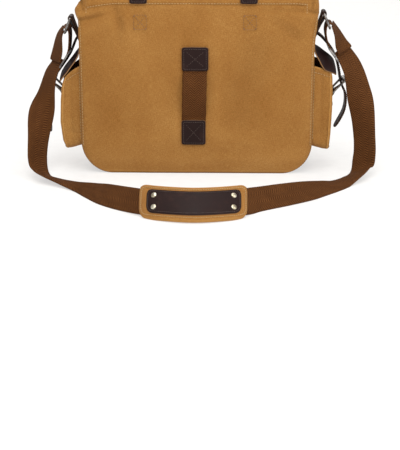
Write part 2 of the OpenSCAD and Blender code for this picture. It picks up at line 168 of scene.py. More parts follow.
def canvas_material(name, base, worn, dark):
    m, t, b = node_material(name)
    uv = n(t, "ShaderNodeUVMap").outputs[0]
    pos = object_place(t)
    warp = noise_tex(t, stretched(t, uv, 160, 1500), 1.0, 2)
    weft = noise_tex(t, stretched(t, uv, 1500, 160), 1.0, 2)
    wave = {"Vector": uv, "Scale": 330.0, "Distortion": 0.6, "Detail": 1.0}
    x, y = (n(t, "ShaderNodeTexWave", wave, bands_direction=way).outputs["Fac"] for way in "XY")
    weave = times(t, x, y)
    slub = plus(t, warp, weft)
    cloud = noise_tex(t, pos, 9.0, 4)
    fade = noise_tex(t, pos, 34.0, 5, 0.6)
    speck = noise_tex(t, stretched(t, uv, 620, 760), 1.0, 1)
    col = ramp(t, plus(t, times(t, slub, 0.55), times(t, cloud, 0.45)), (0.55, dark), (0.78, base),
               (1.0, worn))
    col = mix(t, times(t, mask(t, fade, 0.45, 0.8), 0.22), col, (*worn, 1))
    col = mix(t, times(t, mask(t, speck, 0.46, 0.68), 0.62), col, (*[c * 0.8 for c in dark], 1))
    col = mix(t, attr(t, "worn"), col, (*[min(1, c * 1.25) for c in worn], 1))
    col = mix(t, attr(t, "shade"), col, (*[c * 0.42 for c in dark], 1))
    fine = bumped(t, 0.55, 0.0005, plus(t, weave, times(t, slub, 0.6)))
    soft = bumped(t, 0.35, 0.004, noise_tex(t, pos, 26.0, 3), Normal=fine)
    feed(t, b, {"Base Color": col, "Roughness": plus(t, times(t, weave, 0.08), 0.84), "Normal": soft,
                "Sheen Weight": 0.06, "Sheen Roughness": 0.6, "Specular IOR Level": 0.12})
    return m


def leather_material(name, base, high, edge):
    m, t, b = node_material(name)
    pos = object_place(t)
    cloud = noise_tex(t, pos, 45.0, 5, 0.6)
    fine = noise_tex(t, pos, 420.0, 4, 0.6)
    col = ramp(t, cloud, (0.3, [c * 0.72 for c in base]), (0.55, base), (0.8, high))
    col = mix(t, times(t, fine, 0.25), col, (*high, 1))
    col = mix(t, attr(t, "edge"), col, (*edge, 1))
    grain = n(t, "ShaderNodeTexVoronoi", {"Vector": pos, "Scale": 900.0},
              feature="DISTANCE_TO_EDGE").outputs[0]
    crease = bumped(t, 0.4, 0.002, cloud, Normal=bumped(t, 0.3, 0.0004, grain))
    feed(t, b, {"Base Color": col, "Roughness": plus(t, times(t, cloud, 0.3), 0.40), "Normal": crease,
                "Specular IOR Level": 0.16})
    return m


def webbing_material(name, dark, light, column=0.0060, period=0.0036):
    m, t, b = node_material(name)
    uv = n(t, "ShaderNodeUVMap").outputs[0]
    s = n(t, "ShaderNodeSeparateXYZ", {0: uv})
    run = plus(t, s.outputs[1], calc(t, "PINGPONG", s.outputs[0], column))
    twill = calc(t, "SINE", times(t, run, 2 * math.pi / period))
    cord = calc(t, "ABSOLUTE", calc(t, "SINE", times(t, s.outputs[0], math.pi / column)))
    slub = noise_tex(t, stretched(t, uv, 900, 220), 1.0, 2)
    cloud = noise_tex(t, stretched(t, uv, 30, 30), 1.0, 3)
    tone = plus(t, times(t, twill, 0.26), plus(t, times(t, slub, 0.5), times(t, cloud, 0.4)))
    height = plus(t, times(t, twill, 0.5), plus(t, times(t, cord, 0.35), times(t, slub, 0.4)))
    feed(t, b, {"Base Color": ramp(t, tone, (0.18, dark), (0.72, light)), "Roughness": 0.85,
                "Specular IOR Level": 0.10, "Normal": bumped(t, 0.6, 0.0006, height)})
    return m


def metal_material(name, base, bright, rough):
    m, t, b = node_material(name)
    pos = object_place(t)
    cloud = noise_tex(t, pos, 160.0, 5, 0.65)
    feed(t, b, {"Base Color": ramp(t, cloud, (0.38, base), (0.66, bright)), "Metallic": 1.0,
                "Roughness": plus(t, times(t, cloud, 0.3), rough),
                "Normal": bumped(t, 0.2, 0.0003, noise_tex(t, pos, 700.0, 3))})
    return m


def thread_material(name, base):
    m, t, b = node_material(name)
    ply = noise_tex(t, object_place(t), 1400.0, 2)
    feed(t, b, {"Base Color": ramp(t, ply, (0.35, [c * 0.75 for c in base]), (0.7, base)), "Roughness": 0.7,
                "Sheen Weight": 0.2, "Normal": bumped(t, 0.4, 0.0002, ply)})
    return m


CANVAS = canvas_material("canvas", (0.352, 0.157, 0.035), (0.465, 0.242, 0.068), (0.262, 0.105, 0.018))
LINING = canvas_material("lining_cloth", (0.24, 0.17, 0.10), (0.32, 0.24, 0.15), (0.17, 0.12, 0.07))
LEATHER = leather_material("leather", (0.0135, 0.0046, 0.0042), (0.036, 0.0155, 0.0115), (0.38, 0.20, 0.085))
WEBBING = webbing_material("webbing", (0.038, 0.0118, 0.0028), (0.128, 0.048, 0.013))
METAL = metal_material("dark_metal", (0.10, 0.09, 0.085), (0.50, 0.48, 0.45), 0.18)
PLATE = metal_material("plate_metal", (0.40, 0.385, 0.36), (0.45, 0.435, 0.41), 0.22)
BRASS = metal_material("antique_brass", (0.44, 0.37, 0.25), (0.80, 0.75, 0.62), 0.2)
THREAD = thread_material("thread_tan", (0.56, 0.36, 0.15))
DARK_THREAD = thread_material("thread_dark", (0.055, 0.03, 0.022))
# thread of the handle's boxed stitches: brown instead of the real tan, as painted shade of the stitch holes
HOLE_SHADE_THREAD = thread_material("thread_hole_shade", (0.24, 0.11, 0.036))
BOARD = leather_material("board", (0.03, 0.028, 0.026), (0.05, 0.047, 0.043), (0.04, 0.035, 0.03))

FLOOR, t, b = node_material("floor")
paper = noise_tex(t, object_place(t), 60.0, 3)
feed(t, b, {"Base Color": ramp(t, paper, (0.3, (0.33, 0.327, 0.32)), (0.7, (0.36, 0.357, 0.35))),
            "Roughness": 0.9, "Specular IOR Level": 0.1,
            "Emission Color": (1.0, 0.985, 0.97, 1), "Emission Strength": 0.60})


# ---------------------------------------------------------------- mesh helpers
TABLE_GAP = 0.0001  # lowest height of any part of the cloth, in metres


def finish_mesh(name, verts, faces, mat, body, uvs=None, attrs=None, replaces=(), slot=None):
    me = bpy.data.meshes.new(name)
    if body:
        verts = np.array(verts, float)
        verts[:, 2] = np.maximum(verts[:, 2], TABLE_GAP)
    me.from_pydata([tuple(v) for v in verts], [], [tuple(f) for f in faces])
    if uvs is not None:
        layer = me.uv_layers.new(name="UVMap")
        idx = np.zeros(len(me.loops), np.int32)
        me.loops.foreach_get("vertex_index", idx)
        layer.data.foreach_set("uv", np.asarray(uvs, np.float32)[idx].ravel())
    for k, v in (attrs or {}).items():
        a = me.attributes.new(k, "FLOAT", "POINT")
        a.data.foreach_set("value", np.asarray(v, np.float32))
    me.validate()
    me.polygons.foreach_set("use_smooth", [True] * len(me.polygons))
    me.materials.append(mat)
    o = bpy.data.objects.new(name, me)
    scene.collection.objects.link(o)
    if body:
        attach(o, body)
    if replaces:
        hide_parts(*replaces)
    return o


def grid_normals(g):
    du = np.gradient(g, axis=1)
    dv = np.gradient(g, axis=0)
    nn = np.cross(du, dv)
    return nn / np.maximum(np.linalg.norm(nn, axis=2, keepdims=True), 1e-12)


def arclen(g, axis):
    d = np.linalg.norm(np.diff(g, axis=axis), axis=2)
    z = np.zeros((g.shape[0], 1)) if axis == 1 else np.zeros((1, g.shape[1]))
    return np.concatenate([z, np.cumsum(d, axis=axis)], axis=axis)


def headings(p):
    """Unit direction of a line at each of its points."""
    d = np.gradient(p, axis=0)
    return d / np.linalg.norm(d, axis=1, keepdims=True)


def run_length(p):
    """Distance run along a line up to each of its points."""
    return np.concatenate([[0], np.cumsum(np.linalg.norm(np.diff(p, axis=0), axis=1))])


def gauss(d, w):
    return np.exp(-((d / w) ** 2))


def clamp(v):
    return min(max(v, 0), 1)


def rounded(half, corner, e):
    """Half width of a shape with rounded corners, at the distance e from its end."""
    return half if e >= corner else half - corner + math.sqrt(max(corner**2 - (corner - e) ** 2, 0))


def edge_fall(e, r):
    """How far a rounded edge falls back: 1 on the edge, 0 from the distance r on."""
    return 1 - np.sqrt(np.clip(1 - (1 - np.clip(e / r, 0, 1)) ** 2, 0, 1))


def facing_out(g, side=1):
    """Normals of a grid that looks along Y."""
    nrm = np.zeros_like(g)
    nrm[:, :, 1] = side
    return nrm


def marks(worn, shade):
    """Wear and shade of a grid whose columns are turned round."""
    return {"worn": np.array(worn)[:, ::-1], "shade": np.array(shade)[:, ::-1]}


def ring_faces(rows, sides, flip=False):
    """Faces of a body of closed rings with a cap at each end."""
    faces = []
    for i in range(rows - 1):
        for j in range(sides):
            a, b = i * sides + j, i * sides + (j + 1) % sides
            faces.append((a, a + sides, b + sides, b) if flip else (a, b, b + sides, a + sides))
    low, high = tuple(range(sides)), tuple(range((rows - 1) * sides, rows * sides))
    return faces + ([low, high[::-1]] if flip else [low[::-1], high])


def shell_data(g, thick, nrm=None, edge_bulge=0.3, attrs=None):
    """A closed sheet as (verts, faces, uvs, attrs): g is its outer face, and its edges are rounded."""
    r, c = g.shape[:2]
    nrm = grid_normals(g) if nrm is None else nrm
    inner = g - nrm * thick
    rim_idx = [(0, j) for j in range(c)] + [(i, c - 1) for i in range(1, r)]
    rim_idx += [(r - 1, j) for j in range(c - 2, -1, -1)] + [(i, 0) for i in range(r - 2, 0, -1)]
    mid = []
    for i, j in rim_idx:
        i2, j2 = min(max(i, 1), r - 2), min(max(j, 1), c - 2)
        away = g[i, j] - g[i2, j2]
        away = away / max(np.linalg.norm(away), 1e-9)
        mid.append(g[i, j] - nrm[i, j] * thick / 2 + away * thick * edge_bulge)
    verts = np.concatenate([g.reshape(-1, 3), inner.reshape(-1, 3), np.array(mid)])
    N, M = r * c, 2 * r * c
    faces = []
    for i in range(r - 1):
        for j in range(c - 1):
            p = i * c + j
            faces.append((p, p + 1, p + c + 1, p + c))
            faces.append((N + p, N + p + c, N + p + c + 1, N + p + 1))
    k = len(rim_idx)
    for a in range(k):
        b2 = (a + 1) % k
        p, q = rim_idx[a][0] * c + rim_idx[a][1], rim_idx[b2][0] * c + rim_idx[b2][1]
        faces.append((q, p, M + a, M + b2))
        faces.append((M + b2, M + a, N + p, N + q))
    uv = np.stack([arclen(g, 1).reshape(-1), arclen(g, 0).reshape(-1)], 1)
    rim_uv = np.array([uv[i * c + j] for i, j in rim_idx])
    uvs = np.concatenate([uv, uv, rim_uv])
    out = {}
    for name, a in (attrs or {}).items():
        a = a.reshape(-1)
        out[name] = np.concatenate([a, a * 0.3, np.array([a[i * c + j] for i, j in rim_idx])])
    edge = np.zeros(len(verts))
    edge[M:] = 1.0
    out["edge"] = edge
    return verts, faces, uvs, out


def shell(name, g, thick, mat, body, nrm=None, edge_bulge=0.3, attrs=None, **kw):
    verts, faces, uvs, fields = shell_data(g, thick, nrm, edge_bulge, attrs)
    return finish_mesh(name, verts, faces, mat, body, uvs, fields, **kw)


def merge(name, parts, mat, body, **kw):
    """Joins (verts, faces, uvs, attrs) parts into one piece."""
    verts, faces, uvs, attrs, base = [], [], [], {}, 0
    keys = {k for p in parts for k in p[3]}
    for v, f, uv, at in parts:
        verts.append(v)
        uvs.append(uv)
        faces += [tuple(i + base for i in q) for q in f]
        for k in keys:
            attrs.setdefault(k, []).append(at.get(k, np.zeros(len(v))))
        base += len(v)
    attrs = {k: np.concatenate(a) for k, a in attrs.items()}
    return finish_mesh(name, np.concatenate(verts), faces, mat, body, np.concatenate(uvs), attrs, **kw)


def capsule(a, b, r, sides=6):
    """One stitch from a to b, as (verts, faces)."""
    a, b = np.array(a, float), np.array(b, float)
    d = b - a
    length = np.linalg.norm(d)
    d = d / max(length, 1e-9)
    h = np.cross(d, [0, 0, 1.0] if abs(d[2]) < 0.9 else [1.0, 0, 0])
    h /= np.linalg.norm(h)
    k = np.cross(d, h)
    verts = [a - d * r * 0.6]
    for s, rr in ((0.0, 0.75), (0.28, 1.0), (0.72, 1.0), (1.0, 0.75)):
        for i in range(sides):
            q = 2 * math.pi * i / sides
            verts.append(a + d * length * s + (h * math.cos(q) + k * math.sin(q)) * r * rr)
    verts.append(b + d * r * 0.6)
    faces = [(0, 1 + (i + 1) % sides, 1 + i) for i in range(sides)]
    for row in range(3):
        o = 1 + row * sides
        faces += [(o + i, o + (i + 1) % sides, o + sides + (i + 1) % sides, o + sides + i)
                  for i in range(sides)]
    last = len(verts) - 1
    o = 1 + 3 * sides
    faces += [(o + i, o + (i + 1) % sides, last) for i in range(sides)]
    return np.array(verts), faces


def walk(points, pitch):
    """Points about every pitch along a line."""
    p = np.array(points, float)
    s = run_length(p)
    m = max(int(round(s[-1] / pitch)), 1)
    at = np.linspace(0, s[-1], m + 1)
    return np.stack([np.interp(at, s, p[:, k]) for k in range(3)], 1)


def stitches(name, lines, body, mat=THREAD, pitch=0.0045, share=0.62, r=0.00042):
    """One piece holding every stitch of several seams. Each seam is a list of points."""
    verts, faces, base = [], [], 0
    for line in lines:
        w = walk(line, pitch)
        for a, b in zip(w[:-1], w[1:]):
            gap = (b - a) * (0.5 - share / 2)
            v, f = capsule(a + gap, b - gap, r)
            verts.append(v)
            faces += [tuple(i + base for i in q) for q in f]
            base += len(v)
    return finish_mesh(name, np.concatenate(verts), faces, mat, body)


def spline(a, b, c, d, q):
    """Point at the share q between b and c on the smooth curve through a, b, c and d."""
    return ((2 * b) + (c - a) * q + (2 * a - 5 * b + 4 * c - d) * q * q + (3 * b - a - 3 * c + d) * q**3) / 2


def catmull(points, per):
    """A smooth curve through the points, with per steps between two of them."""
    p = np.array(points, float)
    out = []
    for i in range(len(p) - 1):
        around = p[max(i - 1, 0)], p[i], p[i + 1], p[min(i + 2, len(p) - 1)]
        out += [spline(*around, k / per) for k in range(per)]
    return np.array(out + [p[-1]])


def fold(x, z, a, b, width, amp, ends=0.25):
    """Height of one soft fold along the segment a-b."""
    ax, az = a
    dx, dz = b[0] - ax, b[1] - az
    length2 = dx * dx + dz * dz
    s = ((x - ax) * dx + (z - az) * dz) / length2
    d = np.abs((x - ax) * dz - (z - az) * dx) / math.sqrt(length2)
    over = np.maximum(np.maximum(-s, s - 1), 0) / ends
    return amp * gauss(d, width) * np.exp(-(over**2)) * np.clip(1.15 - 0.5 * np.clip(s, 0, 1), 0, 1)


def rumple(g, scale, amp, seed=0.0):
    """Smooth noise height over a grid of points."""
    f = g.reshape(-1, 3) * scale
    h = np.array([noise.noise(Vector((p[0] + seed, p[1] + 1.7 * seed, p[2] - seed))) for p in f])
    return amp * h.reshape(g.shape[:2])


# ---------------------------------------------------------------- shoulder strap, its loops and its pad
ROUTE = [  # x, y, z in millimetres, then the heading and rise of the strap's width in degrees
    (-205, 14, 226, -98, 0), (-213, 14, 211, -106, 4), (-220, 14, 193, -120, 10),
    (-226, 15, 179, -130, 13), (-234, 18, 166, -138, 12), (-241, 21, 150, -146, 9),
    (-247, 26, 126, -166, 3), (-253, 33, 96, -202, 0), (-256, 42, 65, -217, 0),
    (-257, 51, 34, -216, 6), (-252, 60, 12, -206, 26), (-236, 86, 6, -232, 14),
    (-217, 108, 2, -236, 1), (-198, 134, 5, -234, -10), (-177, 160, 8.5, -233, -21),
    (-156, 185, 11.5, -234, -31), (-120, 214, 13.5, -241, -40), (-91, 235, 14.5, -256, -43),
    (-65, 263, 17.5, -268, -44), (-35, 279, 19, -270, -44), (0, 286, 19.5, -270, -44),
    (35, 279, 19, -270, -44), (65, 264, 17.5, -272, -44), (100, 235, 14.5, -290, -42),
    (125, 208, 12, -306, -34), (143, 178, 8.5, -310, -21), (163, 144, 4, -318, -8),
    (190, 120, 3.5, -311, 8), (218, 102, 7, -306, 19), (236, 83, 11, -310, 24),
    (242, 70, 28, -308, 6), (241, 54, 62, -319, 2), (237.5, 42, 92, -354, 2),
    (231.5, 31, 119, -402, 4), (225, 22, 146, -420, 8), (218, 17, 163, -425, 8),
    (213, 14, 185, -430, 5), (209, 14, 206, -438, 2), (203, 14, 218, -442, 0),
]
ROUTE = np.array(ROUTE, float)
PAD_MID, PAD_REACH = 20, 2.25  # knot in the middle of the pad, and the pad's reach to each side in knots
STRAP_W, STRAP_T = 38, 1.8
PAD_ACROSS = np.array([0, math.cos(math.radians(44)), -math.sin(math.radians(44))])


def route(u):
    """The strap's route at the knot number u, which may lie between two knots."""
    i = int(min(math.floor(u), len(ROUTE) - 2))
    q = u - i
    return spline(*(ROUTE[min(max(k, 0), len(ROUTE) - 1)] for k in (i - 1, i, i + 1, i + 2)), q)


def strap_frame(u):
    """Place, width direction and face normal of the strap, in millimetres."""
    v = route(u)
    # near its fold at the right slider the cloth turns and shifts a little against the plain solid
    v[3] += 6 * float(gauss(u - 36.2, 1.3))
    v[0] -= 2 * float(gauss(u - 35.2, 0.6))
    d = route(min(u + 0.01, len(ROUTE) - 1))[:3] - route(max(u - 0.01, 0))[:3]
    d /= np.linalg.norm(d)
    turn, lean = math.radians(v[3]), math.radians(v[4])
    h = np.array([math.cos(lean) * math.cos(turn), math.cos(lean) * math.sin(turn), math.sin(lean)])
    w = h - h.dot(d) * d
    w /= np.linalg.norm(w)
    return v[:3], w, np.cross(d, w)


def pad_frame(u):
    """The same for the pad, whose width keeps one direction."""
    d = route(u + 0.01)[:3] - route(u - 0.01)[:3]
    k = np.cross(d / np.linalg.norm(d), PAD_ACROSS)
    return route(u)[:3], PAD_ACROSS, k / np.linalg.norm(k)


def flat_strip(frames, width, thick, across):
    """A strip of rounded section through frames of (place, width direction, normal), as shell data."""
    top = []
    for p, w, nn in frames:
        row = []
        for j in range(across + 1):
            s = 2 * j / across - 1
            e = 1 - 0.45 * abs(s) ** 10
            row.append(p + w * (width / 2 * s) + nn * (thick / 2 * e))
        top.append(row)
    g = np.array(top) * MM
    nrm = np.array([[f[2]] * (across + 1) for f in frames])
    return shell_data(g[:, ::-1], thick * MM, nrm, 0.25)


KNUCKLE = (2.5, 35.3)  # knots where the strap folds over on its way from the ring to the slider
ROLL_R = 2.1  # radius of the rolled-under end of each fold


def leg(ring, knuckle):
    """The short length from a ring to its fold, lying on top of the strap and rolled under at the end."""
    out = []
    for u in np.linspace(knuckle, ring, 36):
        p, w, nn = strap_frame(u)
        out.append((p + nn * (0.4 + 2.4 * gauss(u - knuckle, 0.45)), w, nn))
    p, w, nn = out[0]
    down = np.cross(w, nn) * math.copysign(1, knuckle - ring)
    roll = []
    for a in np.radians(np.arange(150, 0, -15)):
        outward = nn * math.cos(a) + down * math.sin(a)
        roll.append((p + (outward - nn) * ROLL_R, w, outward))
    out = roll + out
    return out if ring > knuckle else out[::-1]


frames = []
us = np.linspace(KNUCKLE[0] - 0.2, KNUCKLE[1] + 0.15, 360)
for u in us:
    p, w, nn = strap_frame(u)
    frames.append((p - nn * 2.2 * gauss(min(u - us[0], us[-1] - u), 0.4), w, nn))
legs = [leg(0.02, KNUCKLE[0]), leg(len(ROUTE) - 1.02, KNUCKLE[1])]
strap = merge("shoulder_strap_webbing", [flat_strip(f, STRAP_W, STRAP_T, 14) for f in (frames, *legs)],
              WEBBING, ROOT, replaces=("shoulder_strap",), slot="webbing")
centre = np.array([strap_frame(u)[0] for u in np.linspace(0.02, len(ROUTE) - 1.02, 380)]) * MM

# places (out, z) of the shoulder rings' tab side, their strap side and the sliders, for each side
RING_IN = {-1: (191.5, 242), 1: (191, 234)}
RING_OUT = {-1: (200, 222), 1: (199, 214)}
SLIDER = {-1: (206.5, 182), 1: (201.5, 171.5)}
SIDE = {-1: "left", 1: "right"}
for s in (-1, 1):
    r, q = np.array(RING_OUT[s], float), np.array(SLIDER[s], float)
    line = [r + (4.2, 4.6), r + (2.2, 6.2), r + (-1.2, 6.4), r + (-4.2, 4.0), r + (-5.6, -1), r + (-5.6, -10),
            (r + q) / 2 + (-5.5, -4), q + (-3.6, 7), q + (-1.2, 2.0)]
    c = catmull([(s * p[0], 14.0, p[1]) for p in line], 6)
    w = np.array([0.0, 1.0, 0.0])
    loop = flat_strip([(p, w, np.cross(d, w)) for p, d in zip(c, headings(c))], STRAP_W, STRAP_T, 12)
    merge(f"strap_loop_{SIDE[s]}_webbing", [loop], WEBBING, ROOT,
                         replaces=(f"strap_loop_{SIDE[s]}",), slot="webbing")


def pad_run(reach):
    """Knot numbers along a pad layer, and the distance run up to each."""
    uu = np.linspace(PAD_MID - reach, PAD_MID + reach, 200)
    return uu, run_length(np.array([route(u)[:3] for u in uu]))


def pad_piece(name, mat, reach, width, n0, n1, crown, corner, slot, node, rim=0.0, worn=0.0):
    """A pad layer that follows the strap: rounded corners, crowned face, drawn in along its edge."""
    steps, across = 44, 16
    uu, s = pad_run(reach)
    total = s[-1]
    at = total / 2 * (1 - np.cos(np.linspace(0, math.pi, steps + 1)))
    at = 0.35 * at + 0.65 * np.linspace(0, total, steps + 1)
    rows, worn_rows = [], []
    for a in at:
        u = float(np.interp(a, s, uu))
        p, w, nn = pad_frame(u)
        end = min(a, total - a)
        half = max(rounded(width / 2, corner, end), 2.0)
        row, wr = [], []
        for j in range(across + 1):
            q = 2 * j / across - 1
            q = 0.4 * math.sin(q * math.pi / 2) + 0.6 * q
            inside = min(end, half * (1 - abs(q)) + (width / 2 - half) * 0.4)
            soft = 1 - math.exp(-inside / 3.2)
            groove = rim * gauss(inside - 4.6, 1.1)
            h = n1 - crown * (1 - soft) - groove
            row.append(p + w * half * q + nn * h)
            wr.append(worn * math.exp(-inside / 1.4))
        rows.append(row)
        worn_rows.append(wr)
    g = np.array(rows) * MM
    nrm = np.array([[pad_frame(float(np.interp(a, s, uu)))[2]] * (across + 1) for a in at])
    wear = {"worn": np.array(worn_rows)[:, ::-1]}
    data = shell_data(g[:, ::-1], (n1 - n0 - crown * 0.6) * MM, nrm, 0.35, wear)
    data[0][:, 2] = np.maximum(data[0][:, 2], 0.0003)
    return merge(name, [data], mat, ROOT, replaces=(node,), slot=slot)


LIFT = STRAP_T / 2 + 0.5
PAD_SIZE = (PAD_REACH, 52.5)  # reach in knots and width in millimetres
FACE_SIZE = (PAD_REACH * 0.845, 37)
pad = pad_piece("pad_canvas", CANVAS, *PAD_SIZE, LIFT, LIFT + 5, 2.4, 13, "canvas", "shoulder_pad", 0.5,
                worn=0.35)
pad_top = pad_piece("pad_leather_face", LEATHER, *FACE_SIZE, LIFT + 4.6, LIFT + 6.9, 1.0, 9, "leather",
                    "pad_leather")


def pad_outline(reach, width, corner, up, inset):
    """Closed line round a pad layer, set in from its edge."""
    uu, s = pad_run(reach)
    total, line = s[-1], []
    for side in (1, -1):
        xs = np.linspace(inset, total - inset, 120)
        xs = xs if side > 0 else xs[::-1]
        for a in xs:
            end = min(a, total - a) - inset
            half = rounded(width / 2 - inset, max(corner - inset, 1.0), end)
            p, w, nn = pad_frame(float(np.interp(a, s, uu)))
            line.append((p + w * side * half + nn * up) * MM)
    return line + line[:1]


pad_line = pad_outline(*PAD_SIZE, 13, LIFT + 4.75, 4.6)
pad_seam = stitches("pad_stitches", [pad_line], ROOT, pitch=0.0034, r=0.0004)
face_line = pad_outline(*FACE_SIZE, 9, LIFT + 6.75, 2.6)
leather_seam = stitches("pad_leather_stitches", [face_line], ROOT, DARK_THREAD, pitch=0.003, r=0.00035)

RIVET_RINGS = [(4.1, -0.6), (4.1, 0.2), (3.7, 0.75), (2.9, 1.1), (1.6, 1.5), (0.6, 1.62)]  # radius, height
RIVET_SIDES = 20
rivet_parts = []
for a in (-1, 1):
    p, w, nn = pad_frame(PAD_MID + a * PAD_REACH * 0.695)
    along = np.cross(w, nn)
    for k in (-1, 1):
        c = p + w * 9.2 * k + nn * (LIFT + 6.6)
        verts = []
        for rr, h in RIVET_RINGS:
            for turn in 2 * math.pi * np.arange(RIVET_SIDES) / RIVET_SIDES:
                verts.append(c + (w * math.cos(turn) + along * math.sin(turn)) * rr + nn * h)
        faces = ring_faces(len(RIVET_RINGS), RIVET_SIDES, flip=True)
        rivet_parts.append((np.array(verts) * MM, faces, np.zeros((len(verts), 2)), {}))
rivets = merge("pad_rivet_caps", rivet_parts, BRASS, ROOT, replaces=("pad_rivets",), slot="antique_brass")


# ---------------------------------------------------------------- canvas body
BODY_W, BODY_H, CLOTH = 350, 280, 2.5
CORNER = {-1: 45, 1: 47}  # radius of the lower corner on each side
RIM = BODY_H - 2
SIDE_SHAPE = {  # heights, and the bulge of each side there as a share of 7 mm
    -1: ((184, 200, 216, 228, 238, 248, 256, 266, 280), (0, 0.1, 0.27, 0.55, 0.82, 0.97, 1, 0.85, 0.6)),
    1: ((206, 226, 235, 240, 246, 250, 254, 259, 264, 270, 280),
        (0, 0.05, 0.22, 0.5, 0.82, 0.9, 0.8, 0.25, -0.3, -0.6, -0.8)),
}


def side_x(z, s):
    """How far the side s stands out at the height z, above the rounded corner."""
    return BODY_W / 2 + 7 * float(np.interp(z, *SIDE_SHAPE[s]))


def half_w(z, s):
    """Half width of the body at the height z, on the side s."""
    c = CORNER[s]
    return rounded(BODY_W / 2, c, z) if z < c else side_x(z, s)


def back_y(x, z):
    """Height of the smooth crowned back over the middle plane."""
    across = 1 - (abs(x) / half_w(z, 1 if x > 0 else -1)) ** 4
    return 50 + 10 * across * (1 - abs(2 * z / BODY_H - 1) ** 4)


def hw(z, x):
    """Half width of the body at the heights z, on the side that x is on."""
    return np.vectorize(half_w)(z, np.where(np.asarray(x) > 0, 1, -1))


BACK_FOLDS = [  # start, end, width and height of the soft folds on the back
    ((173, 268), (167.5, 250), 1.7, -2.6), ((177, 235), (141, 244), 2.6, -1.7),
    ((177, 242), (146, 250), 4.5, 1.1), ((112, 238), (108, 222), 3.5, -0.7),
    ((-174.5, 272), (-172, 256), 1.6, -2.2), ((-179, 246), (-168, 249.5), 1.8, -1.8),
    ((-171, 250), (-110, 252), 3.4, -0.6), ((-176, 240), (-150, 244), 5.0, 0.9),
    ((118, 252), (112, 205), 7.0, -0.9), ((135, 246), (128, 222), 8.0, 0.7),
    ((172, 215), (128, 236), 9.0, 0.9), ((-150, 214), (-120, 236), 8.0, -0.8),
    ((60, 256), (-60, 255), 5.0, 0.5), ((170, 120), (165, 60), 6.0, 0.6),
    ((-170, 130), (-166, 60), 6.0, 0.6), ((-120, 24), (120, 24), 9.0, 0.8),
    ((40, 60), (150, 30), 14.0, 0.6), ((-40, 60), (-150, 30), 14.0, 0.6),
    ((90, 200), (60, 90), 26.0, 0.7), ((-90, 190), (-60, 90), 26.0, -0.6),
    ((28, 200), (30, 60), 7.0, 0.5), ((-28, 200), (-30, 60), 7.0, 0.5),
]


def back_height(x, z):
    """Height of the folds, seam roll and puckers on the back panel, in millimetres."""
    h = sum(fold(x, z, a, b, w, amp) for a, b, w, amp in BACK_FOLDS)
    near = hw(z, x) - np.abs(x)
    pucker = 0.28 * np.sin(z * 0.62 + 0.8 * np.sin(z * 0.11)) * gauss(near - 4, 4)
    return h + pucker - 0.6 * gauss(near - 3.0, 1.1) + 0.4 * gauss(near - 1.0, 1.2)


def back_face(x, z):
    """Height of the back with its folds."""
    return back_y(x, z) + float(back_height(np.array([[x]]), np.array([[z]]))[0, 0])


def panel_grid(js, low, high):
    """X, Z and the distance from the side edge, with low rows in the rounded corners and high rows above."""
    zs = np.concatenate([45 * (1 - np.cos(np.linspace(0, math.pi / 2, low))), np.linspace(45, RIM, high)[1:]])
    Z = np.repeat(zs[:, None], len(js), 1)
    X = hw(Z, js[None, :] + 0 * Z) * js[None, :]
    return X, Z, hw(Z, X) - np.abs(X)


js = np.linspace(-1, 1, 131)
X, Z, near = panel_grid(js * (1 - 0.12 * (1 - np.abs(js))), 20, 92)
rows = np.array([[back_y(x, z) for x, z in zip(xr, zr)] for xr, zr in zip(X, Z)])
X = X + np.sign(X) * 1.6 * gauss(near, 3.0) * np.clip((Z - 20) / 30, 0, 1) * np.clip((238 - Z) / 16, 0, 1)
G = np.stack([X, rows, Z], 2)
Y = rows + back_height(X, Z) + rumple(G, 0.012, 0.9) + rumple(G, 0.035, 0.35, 3)
Y -= 1.6 * edge_fall(near, 1.8)
G = np.stack([X, Y, np.maximum(Z, 0.4)], 2) * MM
worn = 0.22 * gauss(near - 1.0, 1.3) + 0.12 * np.clip(back_height(X, Z), 0, 1) + 0.25 * gauss(Z - 3.4, 1.6)
shade = 0.2 * gauss(near, 0.6) + 0.75 * np.clip(-back_height(X, Z) / 3, 0, 1) + 0.95 * gauss(Z, 2.4)
shell("back_canvas", G[::-1], CLOTH * MM, CANVAS, ROOT, attrs={"worn": worn[::-1], "shade": shade[::-1]},
      replaces=("back_panel",), slot="canvas")


def u_points(d, top=RIM, step=3.0):
    """The U-shaped outline of the body from the left rim round to the right one, set in by d."""
    cl, cr, half = CORNER[-1], CORNER[1], BODY_W / 2

    def arc(x, c, start):
        turns = np.linspace(start, start + math.pi / 2, 20)
        return [(x + (c - d) * math.cos(a), c + (c - d) * math.sin(a)) for a in turns]

    left = [(d - side_x(z, -1), z) for z in np.linspace(top, cl, max(int((top - cl) / step), 2))]
    base = [(x, d) for x in np.linspace(cl - half, half - cr, 80)][1:-1]
    right = [(side_x(z, 1) - d, z) for z in np.linspace(cr, top, max(int((top - cr) / step), 2))]
    corners = arc(cl - half, cl, math.pi), arc(half - cr, cr, 1.5 * math.pi)
    return np.array(left[:-1] + corners[0] + base + corners[1] + right[1:])


def out_normals(line):
    d = headings(line)
    return np.stack([d[:, 1], -d[:, 0]], 1)


def across_y(nn, count):
    """Normals (x, z) of an outline, repeated over a grid with count columns in Y."""
    nx, nz = np.repeat(nn[:, :1], count, 1), np.repeat(nn[:, 1:], count, 1)
    return np.stack([nx, np.zeros_like(nx), nz], 2)


